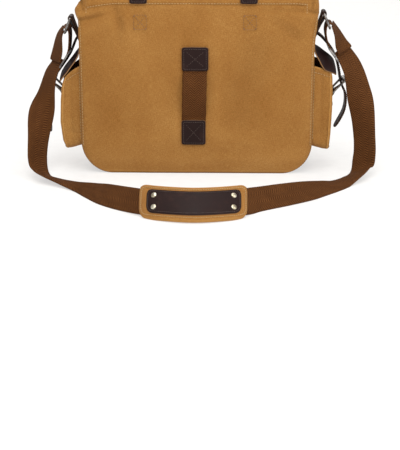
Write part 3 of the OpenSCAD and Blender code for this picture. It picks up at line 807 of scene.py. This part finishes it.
GUSSET_HALF = 47.5
line = u_points(0.0)
nrm2 = out_normals(line)
ys = np.concatenate([[-47.5, -46.8, -45.4, -43.5], np.linspace(-41, 41, 36), [43.5, 45.4, 46.8, 47.5]])
rows, wr, sh = [], [], []
for (x, z), (nx, nz) in zip(line, nrm2):
    row, w_, s_ = [], [], []
    side_wall = clamp((z - 45) / 60)
    base = clamp((40 - z) / 40)
    for y in ys:
        e = GUSSET_HALF - abs(y)
        middle = side_wall * (1 - (y / GUSSET_HALF) ** 2)
        sag = 1.6 * math.sin(0.045 * z + 0.06 * y) * middle
        top_fold = 2.2 * gauss(z - 232 - 0.25 * y, 6) * middle
        roll = 0.9 * gauss(e - 1.6, 1.6) - 0.7 * gauss(e - 4.4, 1.2)
        h = sag - top_fold - 0.9 + roll * (1 - 0.7 * base) - 1.8 * edge_fall(e, 3.0)
        row.append((x + nx * h, y, max(z + nz * h, 0.35)))
        w_.append(0.3 * gauss(e - 1.2, 1.4))
        s_.append(0.4 * gauss(e - 4.6, 1.0) + 0.25 * top_fold / 2.2)
    rows.append(row)
    wr.append(w_)
    sh.append(s_)
G = np.array(rows)
ngrid = across_y(nrm2, len(ys))
G = G + ngrid * rumple(G, 0.02, 0.5, 7)[:, :, None]
G[:, :, 2] = np.maximum(G[:, :, 2], 0.3)
shell("gusset_canvas", (G * MM)[:, ::-1], CLOTH * MM, CANVAS, ROOT, nrm=ngrid[:, ::-1], attrs=marks(wr, sh),
      replaces=("gusset",), slot="canvas")

X, Z, near = panel_grid(np.linspace(-1, 1, 81), 16, 60)
G = np.stack([X, np.full_like(X, -50.0), Z], 2)
crown = 4.0 * gauss(Z, 26) * (1 - (np.abs(X) / hw(Z, X)) ** 4)
G[:, :, 1] += 3.2 * edge_fall(near, 4.5) - np.abs(rumple(G, 0.02, 0.5, 11))
G[:, :, 1] += 0.4 * gauss(near - 4.2, 1.2) - crown
G[:, :, 2] = np.maximum(G[:, :, 2], 0.4)
fields = {"worn": 0.3 * gauss(near - 1.0, 1.6)[::-1, ::-1], "shade": 0.35 * gauss(near, 1.0)[::-1, ::-1]}
shell("front_canvas", (G * MM)[::-1, ::-1], CLOTH * MM, CANVAS, ROOT, attrs=fields,
      replaces=("front_panel",), slot="canvas")


# ---------------------------------------------------------------- lining
def inner_half(z, s, d):
    """Half width at the height z, set in by d."""
    c = CORNER[s]
    return BODY_W / 2 - c + math.sqrt(max((c - d) ** 2 - (c - z) ** 2, 0)) if z < c else side_x(z, s) - d


line = u_points(5.3, RIM - 4.5)
nn = -out_normals(line)
rows = np.array([[(x, y, z) for y in np.linspace(-46.2, 46.2, 22)] for x, z in line])
ng = across_y(nn, 22)
rows += ng * np.abs(rumple(rows, 0.02, 1.6, 17))[:, :, None] * np.clip(rows[:, :, 2:] / 60, 0.2, 1)
parts = [shell_data(rows * MM, 0.9 * MM, ng)]
low = 5.7 + 36 * (1 - np.cos(np.linspace(0, math.pi / 2, 12)))
zs = np.concatenate([low, np.linspace(45, RIM - 4.5, 40)[1:]])
js = np.linspace(-1, 1, 61)
Z = np.repeat(zs[:, None], len(js), 1)
X = np.vectorize(inner_half)(Z, np.where(js[None, :] + 0 * Z > 0, 1, -1), 5.6) * js[None, :]
for y in (-46.3, 46.3):
    G = np.stack([X, np.full_like(X, y), Z], 2)
    G[:, :, 1] += np.sign(-y) * np.abs(rumple(G, 0.016, 1.8, 19)) * np.clip((Z - 6) / 30, 0, 1)
    ng = facing_out(G, -np.sign(y))
    G = G[::-1] if y < 0 else G[::-1, ::-1]
    parts.append(shell_data(G * MM, 0.9 * MM, ng))
merge("lining_cloth", parts, LINING, ROOT, replaces=("lining",), slot="lining")

# ---------------------------------------------------------------- leather patches on the lower corners
for s in (-1, 1):
    line = u_points(-0.1)
    seg = line[(line[:, 0] * s >= 127) & (line[:, 1] < 34.5)]
    nn = out_normals(seg)
    ys2 = np.linspace(-46.2, 46.2, 34)
    rows = [[(p[0] + q[0] * 0.55, y, max(p[1] + q[1] * 0.55, 0.05)) for y in ys2] for p, q in zip(seg, nn)]
    G = np.array(rows)
    shell(f"corner_leather_{SIDE[s]}", (G * MM)[:, ::-1], 1.5 * MM, LEATHER, ROOT,
          nrm=across_y(nn, 34)[:, ::-1], replaces=(f"corner_patch_{SIDE[s]}",), slot="leather")
    edge = [(s * 129.6, y, -0.2) for y in (-45, 45)]
    end = u_points(-0.9)
    end = end[(end[:, 0] * s >= 129) & (end[:, 1] < 32.5)]
    x, z = end[0] if s < 0 else end[-1] - (0, 2)
    rim = [(x, y, z) for y in (-45, 45)]
    loop = [[(p[0], y, max(p[1], 0.0)) for p in end] for y in (-44.6, 44.6)]
    seams = [np.array(seam) * MM for seam in [edge, *loop, rim]]
    stitches(f"corner_stitches_{SIDE[s]}", seams, ROOT, DARK_THREAD, pitch=0.004, r=0.0004)

# ---------------------------------------------------------------- flap
STRIP_Z, STRIP_SEAM = 259.8, 261.4  # lower edge of the flap's strip on the back, and its seam
FLAP_HALF, FLAP_TOP, FLAP_END = 165, 276, 105  # half width, and where the front flap starts and ends


def strip_dip(x):
    """How far the seam of the flap's strip sinks towards its two ends."""
    return 7.5 * clamp((x - 118) / 47) ** 1.4 + 1.5 * clamp((-x - 150) / 15)


def flap_half(z):
    """Half width of the front flap, which narrows a little on its way down."""
    return FLAP_HALF - 8 * min(clamp((FLAP_TOP - z) / (FLAP_TOP - FLAP_END)) * 1.4, 1)


# back strip and the rear half of the top: it bends at the back edge. A y of None means on the back panel
prof = [(None, z) for z in np.linspace(STRIP_Z, 276, 10)]
prof += [(48.6 + 5.2 * math.cos(a), 278.2 + 5.2 * math.sin(a)) for a in np.linspace(0.15, 1.35, 7)]
prof += [(y, 283.4) for y in np.linspace(46, -6, 16)]
xs = np.concatenate([np.linspace(-165, -158, 6), np.linspace(-154, 154, 78), np.linspace(158, 165, 6)])
rows, wr, sh = [], [], []
for y, z in prof:
    row, w_, s_ = [], [], []
    for x in xs:
        e = FLAP_HALF - abs(x)
        if y is None:
            low = max(1 - (z - STRIP_Z) / 16, 0)
            z2 = z - strip_dip(x) * low
            seam = gauss(z - STRIP_SEAM, 0.9)
            yy = back_y(x, z2) + 1.7 - gauss(z - STRIP_Z, 1.2) - gauss(e, 2.0) - 0.5 * seam
            row.append((x, yy + 0.2 * math.sin(x * 0.4) * gauss(z - 261, 4), z2))
            w_.append(0.25 * gauss(z - STRIP_Z, 1.3) + 0.2 * gauss(e, 1.5))
            s_.append(0.25 * seam)
        else:
            hem = 0.2 * gauss(e - 1.5, 1.4)
            wave = 0.25 * math.sin(x * 0.05) + 0.175 * math.sin(x * 0.13 + 1.0)
            row.append((x, y, z + hem - 0.4 + wave * clamp((46 - y) / 20)))
            w_.append(0.2 * gauss(e, 1.6) + (0.16 if z > 280 and y > 44 else 0))
            s_.append(0.0)
    rows.append(row)
    wr.append(w_)
    sh.append(s_)
G = np.array(rows) * MM
flap_rear = shell("flap_rear_canvas", G[:, ::-1], 1.2 * MM, CANVAS, None, attrs=marks(wr, sh),
                  replaces=("flap_back_strip",), slot="canvas")
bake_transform(flap_rear)

# front half of the top and the front flap: it bends at the front edge
front_prof = [(y, 283.5) for y in np.linspace(1, -45, 15)]
front_prof += [(-46.8 - 6.0 * math.sin(a), 277.4 + 6.0 * math.cos(a)) for a in np.linspace(0.2, 1.3, 7)]
drop = [(-53.6, 274), (-62, 245), (-72.2, 212), (-80, 184), (-84.4, 164), (-85.4, 148), (-85.2, FLAP_END)]
front_prof += [(p[1], p[2]) for p in catmull([(0, y - 2.5, z) for y, z in drop], 9)]
rows, wr, sh = [], [], []
for y, z in front_prof:
    k = clamp((FLAP_TOP - z) / (FLAP_TOP - FLAP_END))
    hwid = rounded(flap_half(z), 8, z - FLAP_END) if y < -60 else flap_half(z)
    row, w_, s_ = [], [], []
    for j in np.linspace(-1, 1, 89):
        x = hwid * j
        e = min(hwid - abs(x), (z - FLAP_END) if y < -60 else 99)
        hem = 0.5 * gauss(e - 3.0, 2.2) - 0.8 * gauss(e - 7.0, 1.1)
        sag = 1.5 * math.sin(x * 0.033) * k + 0.8 * math.sin(x * 0.075 + 1.1) * k
        if y > -47:
            row.append((x, y, z - 0.4 + 0.4 * hem + 0.3 * math.sin(x * 0.06)))
        else:
            row.append((x, y - hem - sag * 0.5 * (1 - abs(k - 0.5)), z))
        w_.append(0.4 * gauss(e, 1.3) + (0.18 if 272 < z < 283 and y < -44 else 0))
        s_.append(0.3 * gauss(e - 7.0, 1.0))
    rows.append(row)
    wr.append(w_)
    sh.append(s_)
G = np.array(rows)
G[:, :, 1] -= np.abs(rumple(G, 0.014, 0.8, 5)) * (G[:, :, 2] < 276)
flap_face = shell("flap_front_canvas", (G * MM)[:, ::-1], 2.2 * MM, CANVAS, None, attrs=marks(wr, sh),
                  replaces=("flap_top", "flap_front"), slot="canvas")
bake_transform(flap_face)
hem_line = []
for side in (-1, 1):
    pts = [(side * (flap_half(z) - 7.2), y - 0.9, z) for y, z in front_prof if z > 112]
    pts = [p for p in pts if p[1] < -56]
    hem_line.append(np.array(pts) * MM)
hem_line.append(np.array([(x, -89.0, 112) for x in np.linspace(-148, 148, 30)]) * MM)
stitches("flap_stitches", hem_line, "flap_front")


# ---------------------------------------------------------------- pockets
def pocket_outline(w, z0, z1, r, step=3.0):
    """Left rim, down, along the bottom and up to the right rim: (across, z), in millimetres."""
    left = [(-w / 2, z) for z in np.linspace(z1, z0 + r, int((z1 - z0 - r) / step))]
    turns = np.linspace(math.pi, 1.5 * math.pi, 10)
    a0 = [(r - w / 2 + r * math.cos(a), z0 + r + r * math.sin(a)) for a in turns]
    low = [(x, z0) for x in np.linspace(r - w / 2, w / 2 - r, int((w - 2 * r) / step))]
    half = left[:-1] + a0
    return np.array(half + low[1:-1] + [(-x, z) for x, z in half[::-1]])


def pocket(name, to_world, w, z0, z1, depth, node, seed, crown=3.0, fold_in=3.4, rim_out=None,
           swell=((0, 300), (0, 0)), lift=0.0):
    """A bellows pocket: a folded side strip, a crowned face with a turned hem, and the seams between them."""
    r = 14
    rim_out = z1 if rim_out is None else rim_out
    line = pocket_outline(w, z0, z1, r)

    def settle(x, d, z):
        """Slopes the rim down to its outer end, lifts the root of the base, and swells the outer edges."""
        q = d / depth
        up = max((z - z0 - r) / (z1 - z0 - r), 0)
        z2 = z + up * (rim_out - z1) * q**1.3 + lift * (1 - q) ** 2 * max(1 - (z - z0) / 30, 0)
        side = clamp((abs(x) - 0.55 * w / 2) / (0.4 * w / 2))
        return x, d + float(np.interp(z2, *swell)) * side * q * q, z2

    nn = out_normals(line)
    depths = np.concatenate([np.linspace(0.35, 2.2, 4), np.linspace(3.5, depth - 4, 18),
                             np.linspace(depth - 2.6, depth - 0.8, 4)])
    rows, wr, sh, nr = [], [], [], []
    for (x, z), (nx, nz) in zip(line, nn):
        row, w_, s_ = [], [], []
        side = 1 - abs(nz)
        hem = gauss(z1 - z - 9, 1.2) * side
        for d in depths:
            q = d / depth
            bellows = fold_in * math.sin(math.pi * q) ** 2 * side * (0.5 + 0.5 * min((z1 - z) / 60, 1))
            crease = gauss(q - 0.5, 0.07) * side
            h = 0.99 * noise.noise(Vector((x * 0.03 + seed, d * 0.07, z * 0.028))) - bellows - 0.35 * crease
            h -= 1.1 * gauss(z - z0 - 24 - 8 * q, 5.0) * side * math.sin(math.pi * q)
            h -= 0.35 + 1.2 * edge_fall(depth - d, 3.0) + 0.5 * hem
            row.append(settle(x + nx * h, d, z + nz * h))
            w_.append(0.35 * gauss(depth - d, 1.4) + 0.3 * gauss(z1 - z, 1.5) * side)
            s_.append(0.45 * gauss(d, 1.2) + 0.12 * crease + 0.2 * gauss(z1 - z - 9, 1.0) * side)
        rows.append(row)
        wr.append(w_)
        sh.append(s_)
        nr.append([(nx, 0, nz)] * len(depths))
    G, N = np.array(rows), np.array(nr)
    flip = to_world(np.array([[1.0, 0, 0], [0, 1.0, 0], [0, 0, 1.0], [0, 0, 0]]))
    mirrored = np.linalg.det(flip[:3] - flip[3]) < 0
    side_grid = to_world(G.reshape(-1, 3)).reshape(G.shape) * MM
    side_n = (to_world(N.reshape(-1, 3)) - to_world(np.zeros((1, 3)))).reshape(G.shape)
    order = slice(None, None, 1 if mirrored else -1)
    fields = {"worn": np.array(wr)[:, order], "shade": np.array(sh)[:, order]}
    strip = shell_data(side_grid[:, order], 1.9 * MM, side_n[:, order], 0.3, fields)

    def crowned(x, z):
        """Distance of the smooth face from the body."""
        return depth + crown * (1 - abs(x / (w / 2)) ** 3) * (1 - abs(2 * (z - z0) / (z1 - z0) - 0.9) ** 3)

    zs = np.concatenate([z0 + r * (1 - np.cos(np.linspace(0.06, math.pi / 2, 10))),
                         np.linspace(z0 + r, z1, 40)[1:]])
    js = np.linspace(-1, 1, 49)
    rows, wr, sh = [], [], []
    for z in zs:
        half = rounded(w / 2 - 0.4, r, z - z0)
        row, w_, s_ = [], [], []
        for j in js:
            x = half * j
            e = min(half - abs(x), z - z0)
            top = z1 - z
            d = crowned(x, z) - 1.5 + 0.9 * noise.noise(Vector((x * 0.022, z * 0.022, seed)))
            d += 0.9 * gauss(e - 1.4, 1.5) - 0.7 * gauss(e - 4.3, 1.1) - 1.6 * edge_fall(e, 2.5)
            d += 0.35 * gauss(top - 4, 3) - 0.4 * gauss(top - 10, 1.1)
            row.append(settle(x, min(d, depth + 1.4), z))
            w_.append(0.4 * gauss(e, 1.2) + 0.35 * gauss(top, 1.3))
            s_.append(0.35 * gauss(e - 4.3, 0.9) + 0.3 * gauss(top - 10, 0.9))
        rows.append(row)
        wr.append(w_)
        sh.append(s_)
    F = np.array(rows)
    face = to_world(F.reshape(-1, 3)).reshape(F.shape) * MM
    out = to_world(np.array([[0, 1.0, 0], [0, 0, 0]]))
    out = out[0] - out[1]
    fn = np.broadcast_to(out, face.shape)
    order = slice(None, None, -1 if mirrored else 1)
    fields = {"worn": np.array(wr)[:, order], "shade": np.array(sh)[:, order]}
    front = shell_data(face[:, order], 1.9 * MM, fn, 0.4, fields)
    merge(name, [strip, front], CANVAS, ROOT, replaces=(node,), slot="canvas")
    runs = [[(x, crowned(x, z) - 1.6, z) for x, z in pocket_outline(w - 9, z0 + 4.5, z1 - 1, r - 4)],
            [(x, crowned(x, z1 - 9) - 1.1, z1 - 9) for x in np.linspace(6 - w / 2, w / 2 - 6, 20)]]
    for k in (-1, 1):
        runs.append([(k * (w / 2 - 0.25), 2.6, z) for z in np.linspace(z0 + 16, z1 - 2, 12)])
        runs.append([(k * (w / 2 - 0.9), d, z1 - 8.6) for d in np.linspace(3, depth - 3, 8)])
    seam = [to_world(np.array([settle(*p) for p in run])) * MM for run in runs]
    stitches(name + "_stitches", seam, ROOT)


def front_frame(s):
    """Pocket coordinates (across, out, z) to the frame, for a pocket on the front."""
    return lambda p: np.stack([s * 80 + p[:, 0], -50 - p[:, 1], p[:, 2]], 1)


def side_frame(s):
    """The same for a pocket on the side."""
    return lambda p: np.stack([s * (175 + p[:, 1]), p[:, 0], p[:, 2]], 1)


SIDE_POCKET = {  # rim height at the body and outside, then how far the outer edges swell at each height
    -1: ((166, 156), ((35, 42, 60, 100, 125, 149, 156), (-5, -1.5, 0, 1.6, 1.4, 0.8, -0.6))),
    1: ((165, 147), ((35, 40, 50, 79, 113, 133, 141, 147), (-6, -3, 0.7, 4.2, 2.6, 0.6, -1.5, -4.5))),
}
for s in (-1, 1):
    k = SIDE[s]
    pocket(f"front_pocket_canvas_{k}", front_frame(s), 135, 32, 165, 34, f"front_pocket_{k}", 2.0 + s)
    rim, swell = SIDE_POCKET[s]
    pocket(f"side_pocket_canvas_{k}", side_frame(s), 90, 35, rim[0], 30, f"side_pocket_{k}", 5.0 + s,
           crown=2.2, fold_in=2.6, rim_out=rim[1], swell=swell, lift=6.0)


# ---------------------------------------------------------------- leather straps, flaps and tabs
def ribbon(name, line, width, thick, to_world, body, replaces, taper=None, seams=True, sides=10):
    """A leather strip along a line of (out, z), its width across, with a rounded tip and stitched edges."""
    c = catmull([(p[0], 0, p[1]) for p in line], 7)
    d = headings(c)
    s = run_length(c)

    def half_at(i):
        """Half width at the point i, which shrinks over the tapered tip."""
        left = s[-1] - s[i]
        if taper and left < taper:
            return width / 2 * math.sqrt(max(1 - ((taper - left) / taper) ** 2.4, 0.03))
        return width / 2

    rows, nr = [], []
    for i, (out, _, z) in enumerate(c):
        nx, nz = -d[i][2], d[i][0]
        row = []
        for j in range(-sides, sides + 1):
            q = j / sides
            h = thick / 2 - 0.35 * max(abs(q) - 0.86, 0) / 0.14
            row.append((out + nx * h, q * half_at(i), z + nz * h))
        rows.append(row)
        nr.append([(nx, 0, nz)] * (2 * sides + 1))
    G, N = np.array(rows), np.array(nr)
    W = to_world(G[:, :, [1, 0, 2]].reshape(-1, 3)).reshape(G.shape) * MM
    base = to_world(np.zeros((1, 3)))
    WN = (to_world(N[:, :, [1, 0, 2]].reshape(-1, 3)) - base).reshape(G.shape)
    nrm = np.cross(np.gradient(W, axis=1), np.gradient(W, axis=0))
    if (nrm[len(c) // 2, sides] * WN[len(c) // 2, sides]).sum() < 0:
        W, WN = W[:, ::-1], WN[:, ::-1]
    data = shell_data(W, thick * MM, WN, 0.3)
    data[3]["edge"] *= 0.12  # these edges are dyed dark
    merge(name, [data], LEATHER, body, replaces=replaces, slot="leather")
    if not seams:
        return
    up = thick / 2 + 0.1
    lines = []
    for k in (-1, 1):
        pts = []
        for i in range(3, len(c) - 1):
            if s[-1] - s[i] < (taper or 0) * 0.55 + 2:
                break
            pts.append((k * max(half_at(i) - 2.4, 0.5), c[i][0] - d[i][2] * up, c[i][2] + d[i][0] * up))
        lines.append(to_world(np.array(pts)) * MM)
    stitches(name + "_stitches", lines, body, DARK_THREAD, pitch=0.0034, r=0.00034)


def offset_line(points, d):
    """A line of (out, z) moved outward by d."""
    p = np.array(points, float)
    return [tuple(a + d * np.array((-b[1], b[0]))) for a, b in zip(p, headings(p))]


# routes of belts and leaves as (out, z), in millimetres from the middle of the bag
SIDE_BELT = {
    -1: [(181.5, 206), (187, 203), (194, 196.5), (203, 186), (210.5, 174.5), (216, 160), (219, 147),
         (221.5, 133), (225, 122), (229.5, 112), (230.5, 98), (228, 84), (221.5, 70), (214.5, 58)],
    1: [(181.5, 201), (186, 196.5), (191, 185), (197, 171.5), (205, 159.5), (213, 148.5), (218.5, 140.5),
        (221.5, 132), (225.5, 122), (229.5, 112), (231.5, 98), (232, 84), (232, 70), (231.5, 57), (231, 48)],
}
FRONT_BELT = [(70.2, 228), (80, 194), (87.4, 168), (88, 150), (88.2, 136), (89.2, 121), (95, 108), (98, 97),
              (98, 86), (95, 75), (90, 66)]
SIDE_FLAP = {
    -1: [(179, 190), (185, 187.5), (193, 181.5), (202, 174.5), (208, 168.5), (211, 161)],
    1: [(179, 187), (184, 181), (190, 172.5), (197, 163.8), (203, 156.8), (208, 149.5)],
}
# how far the leaf's two free edges hang, along its length
DROOP = {-1: (4, 12, 19, 16, 12, 6), 1: (6, 8, 7, 7.5, 7, 6)}
LEAF_HALF = 46.6


def side_out(s, y0):
    """Local (across, out, z) to the frame for things on the side, with out from the middle of the bag."""
    return lambda p: np.stack([s * p[:, 1], y0 + p[:, 0], p[:, 2]], 1)


def front_out(x0):
    """The same for things on the front."""
    return lambda p: np.stack([x0 + p[:, 0], -p[:, 1], p[:, 2]], 1)


for s in (-1, 1):
    k = SIDE[s]
    belt = offset_line(SIDE_BELT[s], 1.5)
    ribbon(f"side_belt_leather_{k}", belt, 22, 2.8, side_out(s, -22), f"side_belt_{k}", (f"side_belt_{k}",),
           taper=14)
    belt = offset_line(FRONT_BELT, 1.5)
    ribbon(f"front_belt_leather_{k}", belt, 25, 2.8, front_out(s * 80), "flap_front", (f"front_belt_{k}",),
           taper=14)
    # leaf over the side pocket: it hangs over the pocket's rim at its two free edges
    c = catmull([(p[0], 0, p[1]) for p in offset_line(SIDE_FLAP[s], 1.1)], 6)
    droops = catmull([(d, 0, 0) for d in DROOP[s]], 6)[:, 0]
    rows = []
    for i, (out, _, z) in enumerate(c):
        q = i / (len(c) - 1)
        half = LEAF_HALF * (1 - 0.05 * q**3)
        row = []
        for j in np.linspace(-1, 1, 37):
            droop = droops[i] * j * j + 1.6 * max(abs(j) - 0.8, 0) / 0.2 * q
            arched = 0.8 * (1 - j * j) * math.sin(math.pi * q) - 1.0 * j * j * q
            row.append((out + arched, half * j, z - droop + 0.3 * math.sin(5 * j + 2 * q)))
        rows.append(row)
    G = np.array(rows)
    W = side_out(s, 0)(G[:, :, [1, 0, 2]].reshape(-1, 3)).reshape(G.shape) * MM
    if s > 0:
        W = W[:, ::-1]
    nn = grid_normals(W)
    if nn[len(c) // 2, 18][2] < 0:
        W = W[:, ::-1]
    shell(f"side_flap_leather_{k}", W, 2.1 * MM, LEATHER, f"side_flap_{k}", edge_bulge=0.35,
          replaces=(f"side_flap_{k}",), slot="leather")
    px, pz = RING_IN[s]
    foot = side_x(pz - 36, s) + 0.6
    tab = [(foot + 0.9, pz - 36), ((foot + px - 1.4) / 2, pz - 17), (px - 3.2, pz - 1.5),
           (px - 2.3, pz + 2.4), (px + 0.2, pz + 3.5), (px + 2.6, pz + 2.2), (px + 3.1, pz - 1.0),
           (px + 1.4, pz - 6), ((foot + px) / 2 + 1.5, pz - 19), (foot + 2.7, pz - 34.5)]
    ribbon(f"ring_tab_leather_{k}", tab, 24, 1.7, side_out(s, 14), ROOT, (f"ring_tab_{k}",), seams=False,
           sides=8)
    # buckle holders: a loop of leather round the heel bar of each buckle
    for face, (hx, hz), foot_z, frame_out, node, body in (
        (205, (211, 116), 84, side_out(s, -22), f"side_chape_{k}", f"side_belt_{k}"),
        (84, (89, 97), 66, front_out(s * 80), f"front_chape_{k}", "flap_front"),
    ):
        inner, outer = face + 1.5, face + 3.9
        loop = [(inner, foot_z), (inner, (foot_z + hz) / 2), (inner + 0.2, hz - 6), (hx - 2.9, hz - 0.6),
                (hx - 2.0, hz + 2.1), (hx, hz + 2.9), (hx + 2.1, hz + 2.0), (hx + 2.9, hz - 0.3),
                (hx + 1.2, hz - 4.5), (outer + 0.4, hz - 9.5), (outer, (foot_z + hz) / 2 - 2),
                (outer, foot_z)]
        ribbon(node.replace("chape", "chape_leather"), loop, 20, 1.7, frame_out, body, (node,), seams=False,
               sides=7)


# ---------------------------------------------------------------- back band and its patches
def bow(z):
    """How far the band bows off the back between its patches."""
    q = (z - 91) / 68
    return 0.0 if q <= 0 or q >= 1 else 8 * math.sin(math.pi * q) ** 0.8


def band_x(z):
    """Middle of the band, which runs a little aslant."""
    return 4.4 - 2.4 * (z - 67) / 113


zs = np.linspace(54, 192, 90)
rows = []
for z in zs:
    row = []
    for j in np.linspace(-1, 1, 15):
        x = band_x(z) + 17.75 * j
        y = back_y(x, z) + bow(z) + 2.25 - 0.5 * abs(j) ** 10
        row.append((x + 0.25 * math.sin(z * 0.3) * abs(j), y, z))
    rows.append(row)
G = np.array(rows) * MM
shell("back_band_webbing", G[:, ::-1], 1.9 * MM, WEBBING, ROOT, nrm=facing_out(G), edge_bulge=0.25,
      replaces=("back_band",), slot="webbing")


def boxed(x0, x1, z0, z1, inset, height):
    """Stitch lines of a box and of its diagonals, inset from its corners; height(x, z) gives their Y."""
    box = [(x0, z0), (x1, z0), (x1, z1), (x0, z1), (x0, z0)]
    a, b, c, d = x0 + inset, x1 - inset, z0 + inset, z1 - inset
    lines = []
    for p, q in list(zip(box[:-1], box[1:])) + [((a, c), (b, d)), ((a, d), (b, c))]:
        way = zip(np.linspace(p[0], q[0], 8), np.linspace(p[1], q[1], 8))
        lines.append(np.array([(x, height(x, z), z) for x, z in way]) * MM)
    return lines


def patch_piece(name, x0, x1, z0, z1, up, thick, node):
    """A leather patch on the back, with rounded corners and a crowned face."""
    cx, cz, hx, hz = (x0 + x1) / 2, (z0 + z1) / 2, (x1 - x0) / 2, (z1 - z0) / 2
    shares = np.linspace(-1, 1, 23)
    shares = 0.5 * np.sin(shares * math.pi / 2) + 0.5 * shares
    rows = []
    for z in cz + hz * shares:
        e = hz - abs(z - cz)
        half = rounded(hx, 3.0, e)
        row = []
        for x in cx + half * shares:
            inside = min(e, half - abs(x - cx))
            h = up + thick - 0.7 * math.exp(-inside / 1.2) - 0.28 * gauss(inside - 2.6, 0.7)
            h += 0.15 * noise.noise(Vector((x * 0.2, z * 0.2, 1)))
            row.append((x, back_y(x, z) + h, z))
        rows.append(row)
    G = np.array(rows) * MM
    shell(name, G[:, ::-1], thick * MM, LEATHER, ROOT, nrm=facing_out(G), edge_bulge=0.35,
          replaces=(node,) if node else (), slot="leather")
    seams = boxed(x0 + 2.8, x1 - 2.8, z0 + 2.8, z1 - 2.8, 4, lambda x, z: back_y(x, z) + up + thick - 0.15)
    stitches(name + "_stitches", seams, ROOT, DARK_THREAD, pitch=0.0034, r=0.00036)


patch_piece("band_leather_top", -17.5, 21.5, 162, 197.5, 2.3, 2.1, "back_patch_top")
patch_piece("band_leather_bottom", -13.5, 22.3, 48.2, 86.4, 2.3, 2.1, "back_patch_bottom")

# boxed stitching where the handle's inner straps are sewn on: its thread is coloured a darker brown than the
# real tan thread, which paints in the shade of the stitch holes
box_seams = []
for mid in (-79.5, 83.7):
    box_seams += boxed(mid - 9.5, mid + 9.5, 223.5, 244.5, 0, lambda x, z: back_face(x, z) + 1.05)
stitches("handle_box_stitches", box_seams, ROOT, HOLE_SHADE_THREAD, pitch=0.0040, share=0.5, r=0.00042)

# seams of the back panel and of the flap's strip
lines = []
for s in (-1, 1):
    low = [(s * (half_w(z, s) - 1.4), z) for z in np.linspace(44, 243, 90)]
    high = [(s * (FLAP_HALF - 1), z) for z in np.linspace(246, 262, 8)]
    for pts in (low, high):
        lines.append(np.array([(x, back_face(x, z) + 0.1, z) for x, z in pts]) * MM)
stitches("back_side_stitches", lines, ROOT, pitch=0.0042, r=0.00042)
top = [(x, STRIP_SEAM - 0.9 * strip_dip(x)) for x in np.linspace(-163, 163, 80)]
top = np.array([(x, back_y(x, z) + 1.55, z) for x, z in top]) * MM
stitches("flap_strip_stitches", [top], ROOT, pitch=0.0042, r=0.00042)


# ---------------------------------------------------------------- handle
HANDLE_X, HANDLE_SIDES = 4.3, 18
Y_AXIS = np.array([0, 1, 0])


def arch(q):
    """Middle of the handle at the share q of its way."""
    c = math.cos(math.pi * q)
    flat = 0 if abs(c) < 1e-3 else math.copysign(abs(c) ** 0.72, c)
    return np.array([HANDLE_X - 82 * flat, 53.8, 285 + 42 * math.sin(math.pi * q) ** 0.55])


def handle_frame(q):
    """Place, sideways direction, two half widths and roundness of the handle at the share q."""
    d = arch(min(q + 0.002, 0.9995)) - arch(max(q - 0.002, 0.0005))
    d /= np.linalg.norm(d)
    grip = math.sin(math.pi * q) ** 1.2
    return arch(q), np.array([d[2], 0, -d[0]]), 12 - 4 * grip, 1.9 + 4.1 * grip, grip


qs = np.concatenate([np.linspace(0.0015, 0.03, 6), np.linspace(0.045, 0.955, 64),
                     np.linspace(0.97, 0.9985, 6)])
verts, uvs = [], []
for q in qs:
    p, side, rx, ry, grip = handle_frame(q)
    power = 0.9 if grip < 0.3 else 1.0
    for i in range(HANDLE_SIDES):
        a = 2 * math.pi * i / HANDLE_SIDES
        across = math.copysign(abs(math.cos(a)) ** power, math.cos(a))
        verts.append(p + side * rx * across + Y_AXIS * ry * math.sin(a))
        uvs.append((i / HANDLE_SIDES * 0.04, q * 0.25))
data = (np.array(verts) * MM, ring_faces(len(qs), HANDLE_SIDES), np.array(uvs), {})
merge("handle_leather", [data], LEATHER, "handle", replaces=("handle",), slot="leather")
seam = []
for k in (-1, 1):
    pts = []
    for q in np.linspace(0.06, 0.94, 70):
        p, side, rx, ry = handle_frame(q)[:4]
        pts.append(p - side * rx * 0.93 + Y_AXIS * k * ry * 0.5)
    seam.append(np.array(pts) * MM)
stitches("handle_stitches", seam, "handle", DARK_THREAD, pitch=0.0036, r=0.0004)
for s in (-1, 1):
    mid = s * 82 + HANDLE_X
    node = "handle_anchors" if s < 0 else None
    patch_piece(f"handle_anchor_leather_{SIDE[s]}", mid - 12.5, mid + 12.5, 261.4, 281.5, 2.5, 2.6, node)

# each end of the handle is sewn into its patch with this turn of leather
for s in (-1, 1):
    mid = s * 82 + HANDLE_X
    zs = np.concatenate([[279.6, 280.4], np.linspace(281.6, 288.2, 13), [289.4, 290.2]])
    rows = []
    for z in zs:
        y = 56.2 - 0.4 * gauss(z - 279.6, 0.8) - 0.4 * gauss(z - 290.2, 0.8)
        rows.append([(mid + 12.9 * j, y - 0.5 * abs(j) ** 8, z) for j in np.linspace(-1, 1, 17)])
    G = np.array(rows) * MM
    turn = shell(f"handle_turn_leather_{SIDE[s]}", G[:, ::-1], 4.8 * MM, LEATHER, None, nrm=facing_out(G),
                 edge_bulge=0.15, slot="leather")
    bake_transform(turn)

# ---------------------------------------------------------------- materials of the CAD parts that stay
KEEP = {"base_board": BOARD, "name_plate": PLATE}
METAL_WORDS = ("ring", "buckle", "prong", "roller", "snap", "slider")
for name, o in NODES.items():
    if o.hide_render:
        continue
    if name in KEEP:
        mat = KEEP[name]
    elif any(word in name for word in METAL_WORDS) and "tab" not in name:
        mat = METAL
    else:
        mat = CANVAS
    o.data.materials.clear()
    o.data.materials.append(mat)

floor = finish_mesh("floor", [(-30, -30, 0), (30, -30, 0), (30, 30, 0), (-30, 30, 0)], [(0, 1, 2, 3)],
                    FLOOR, None)
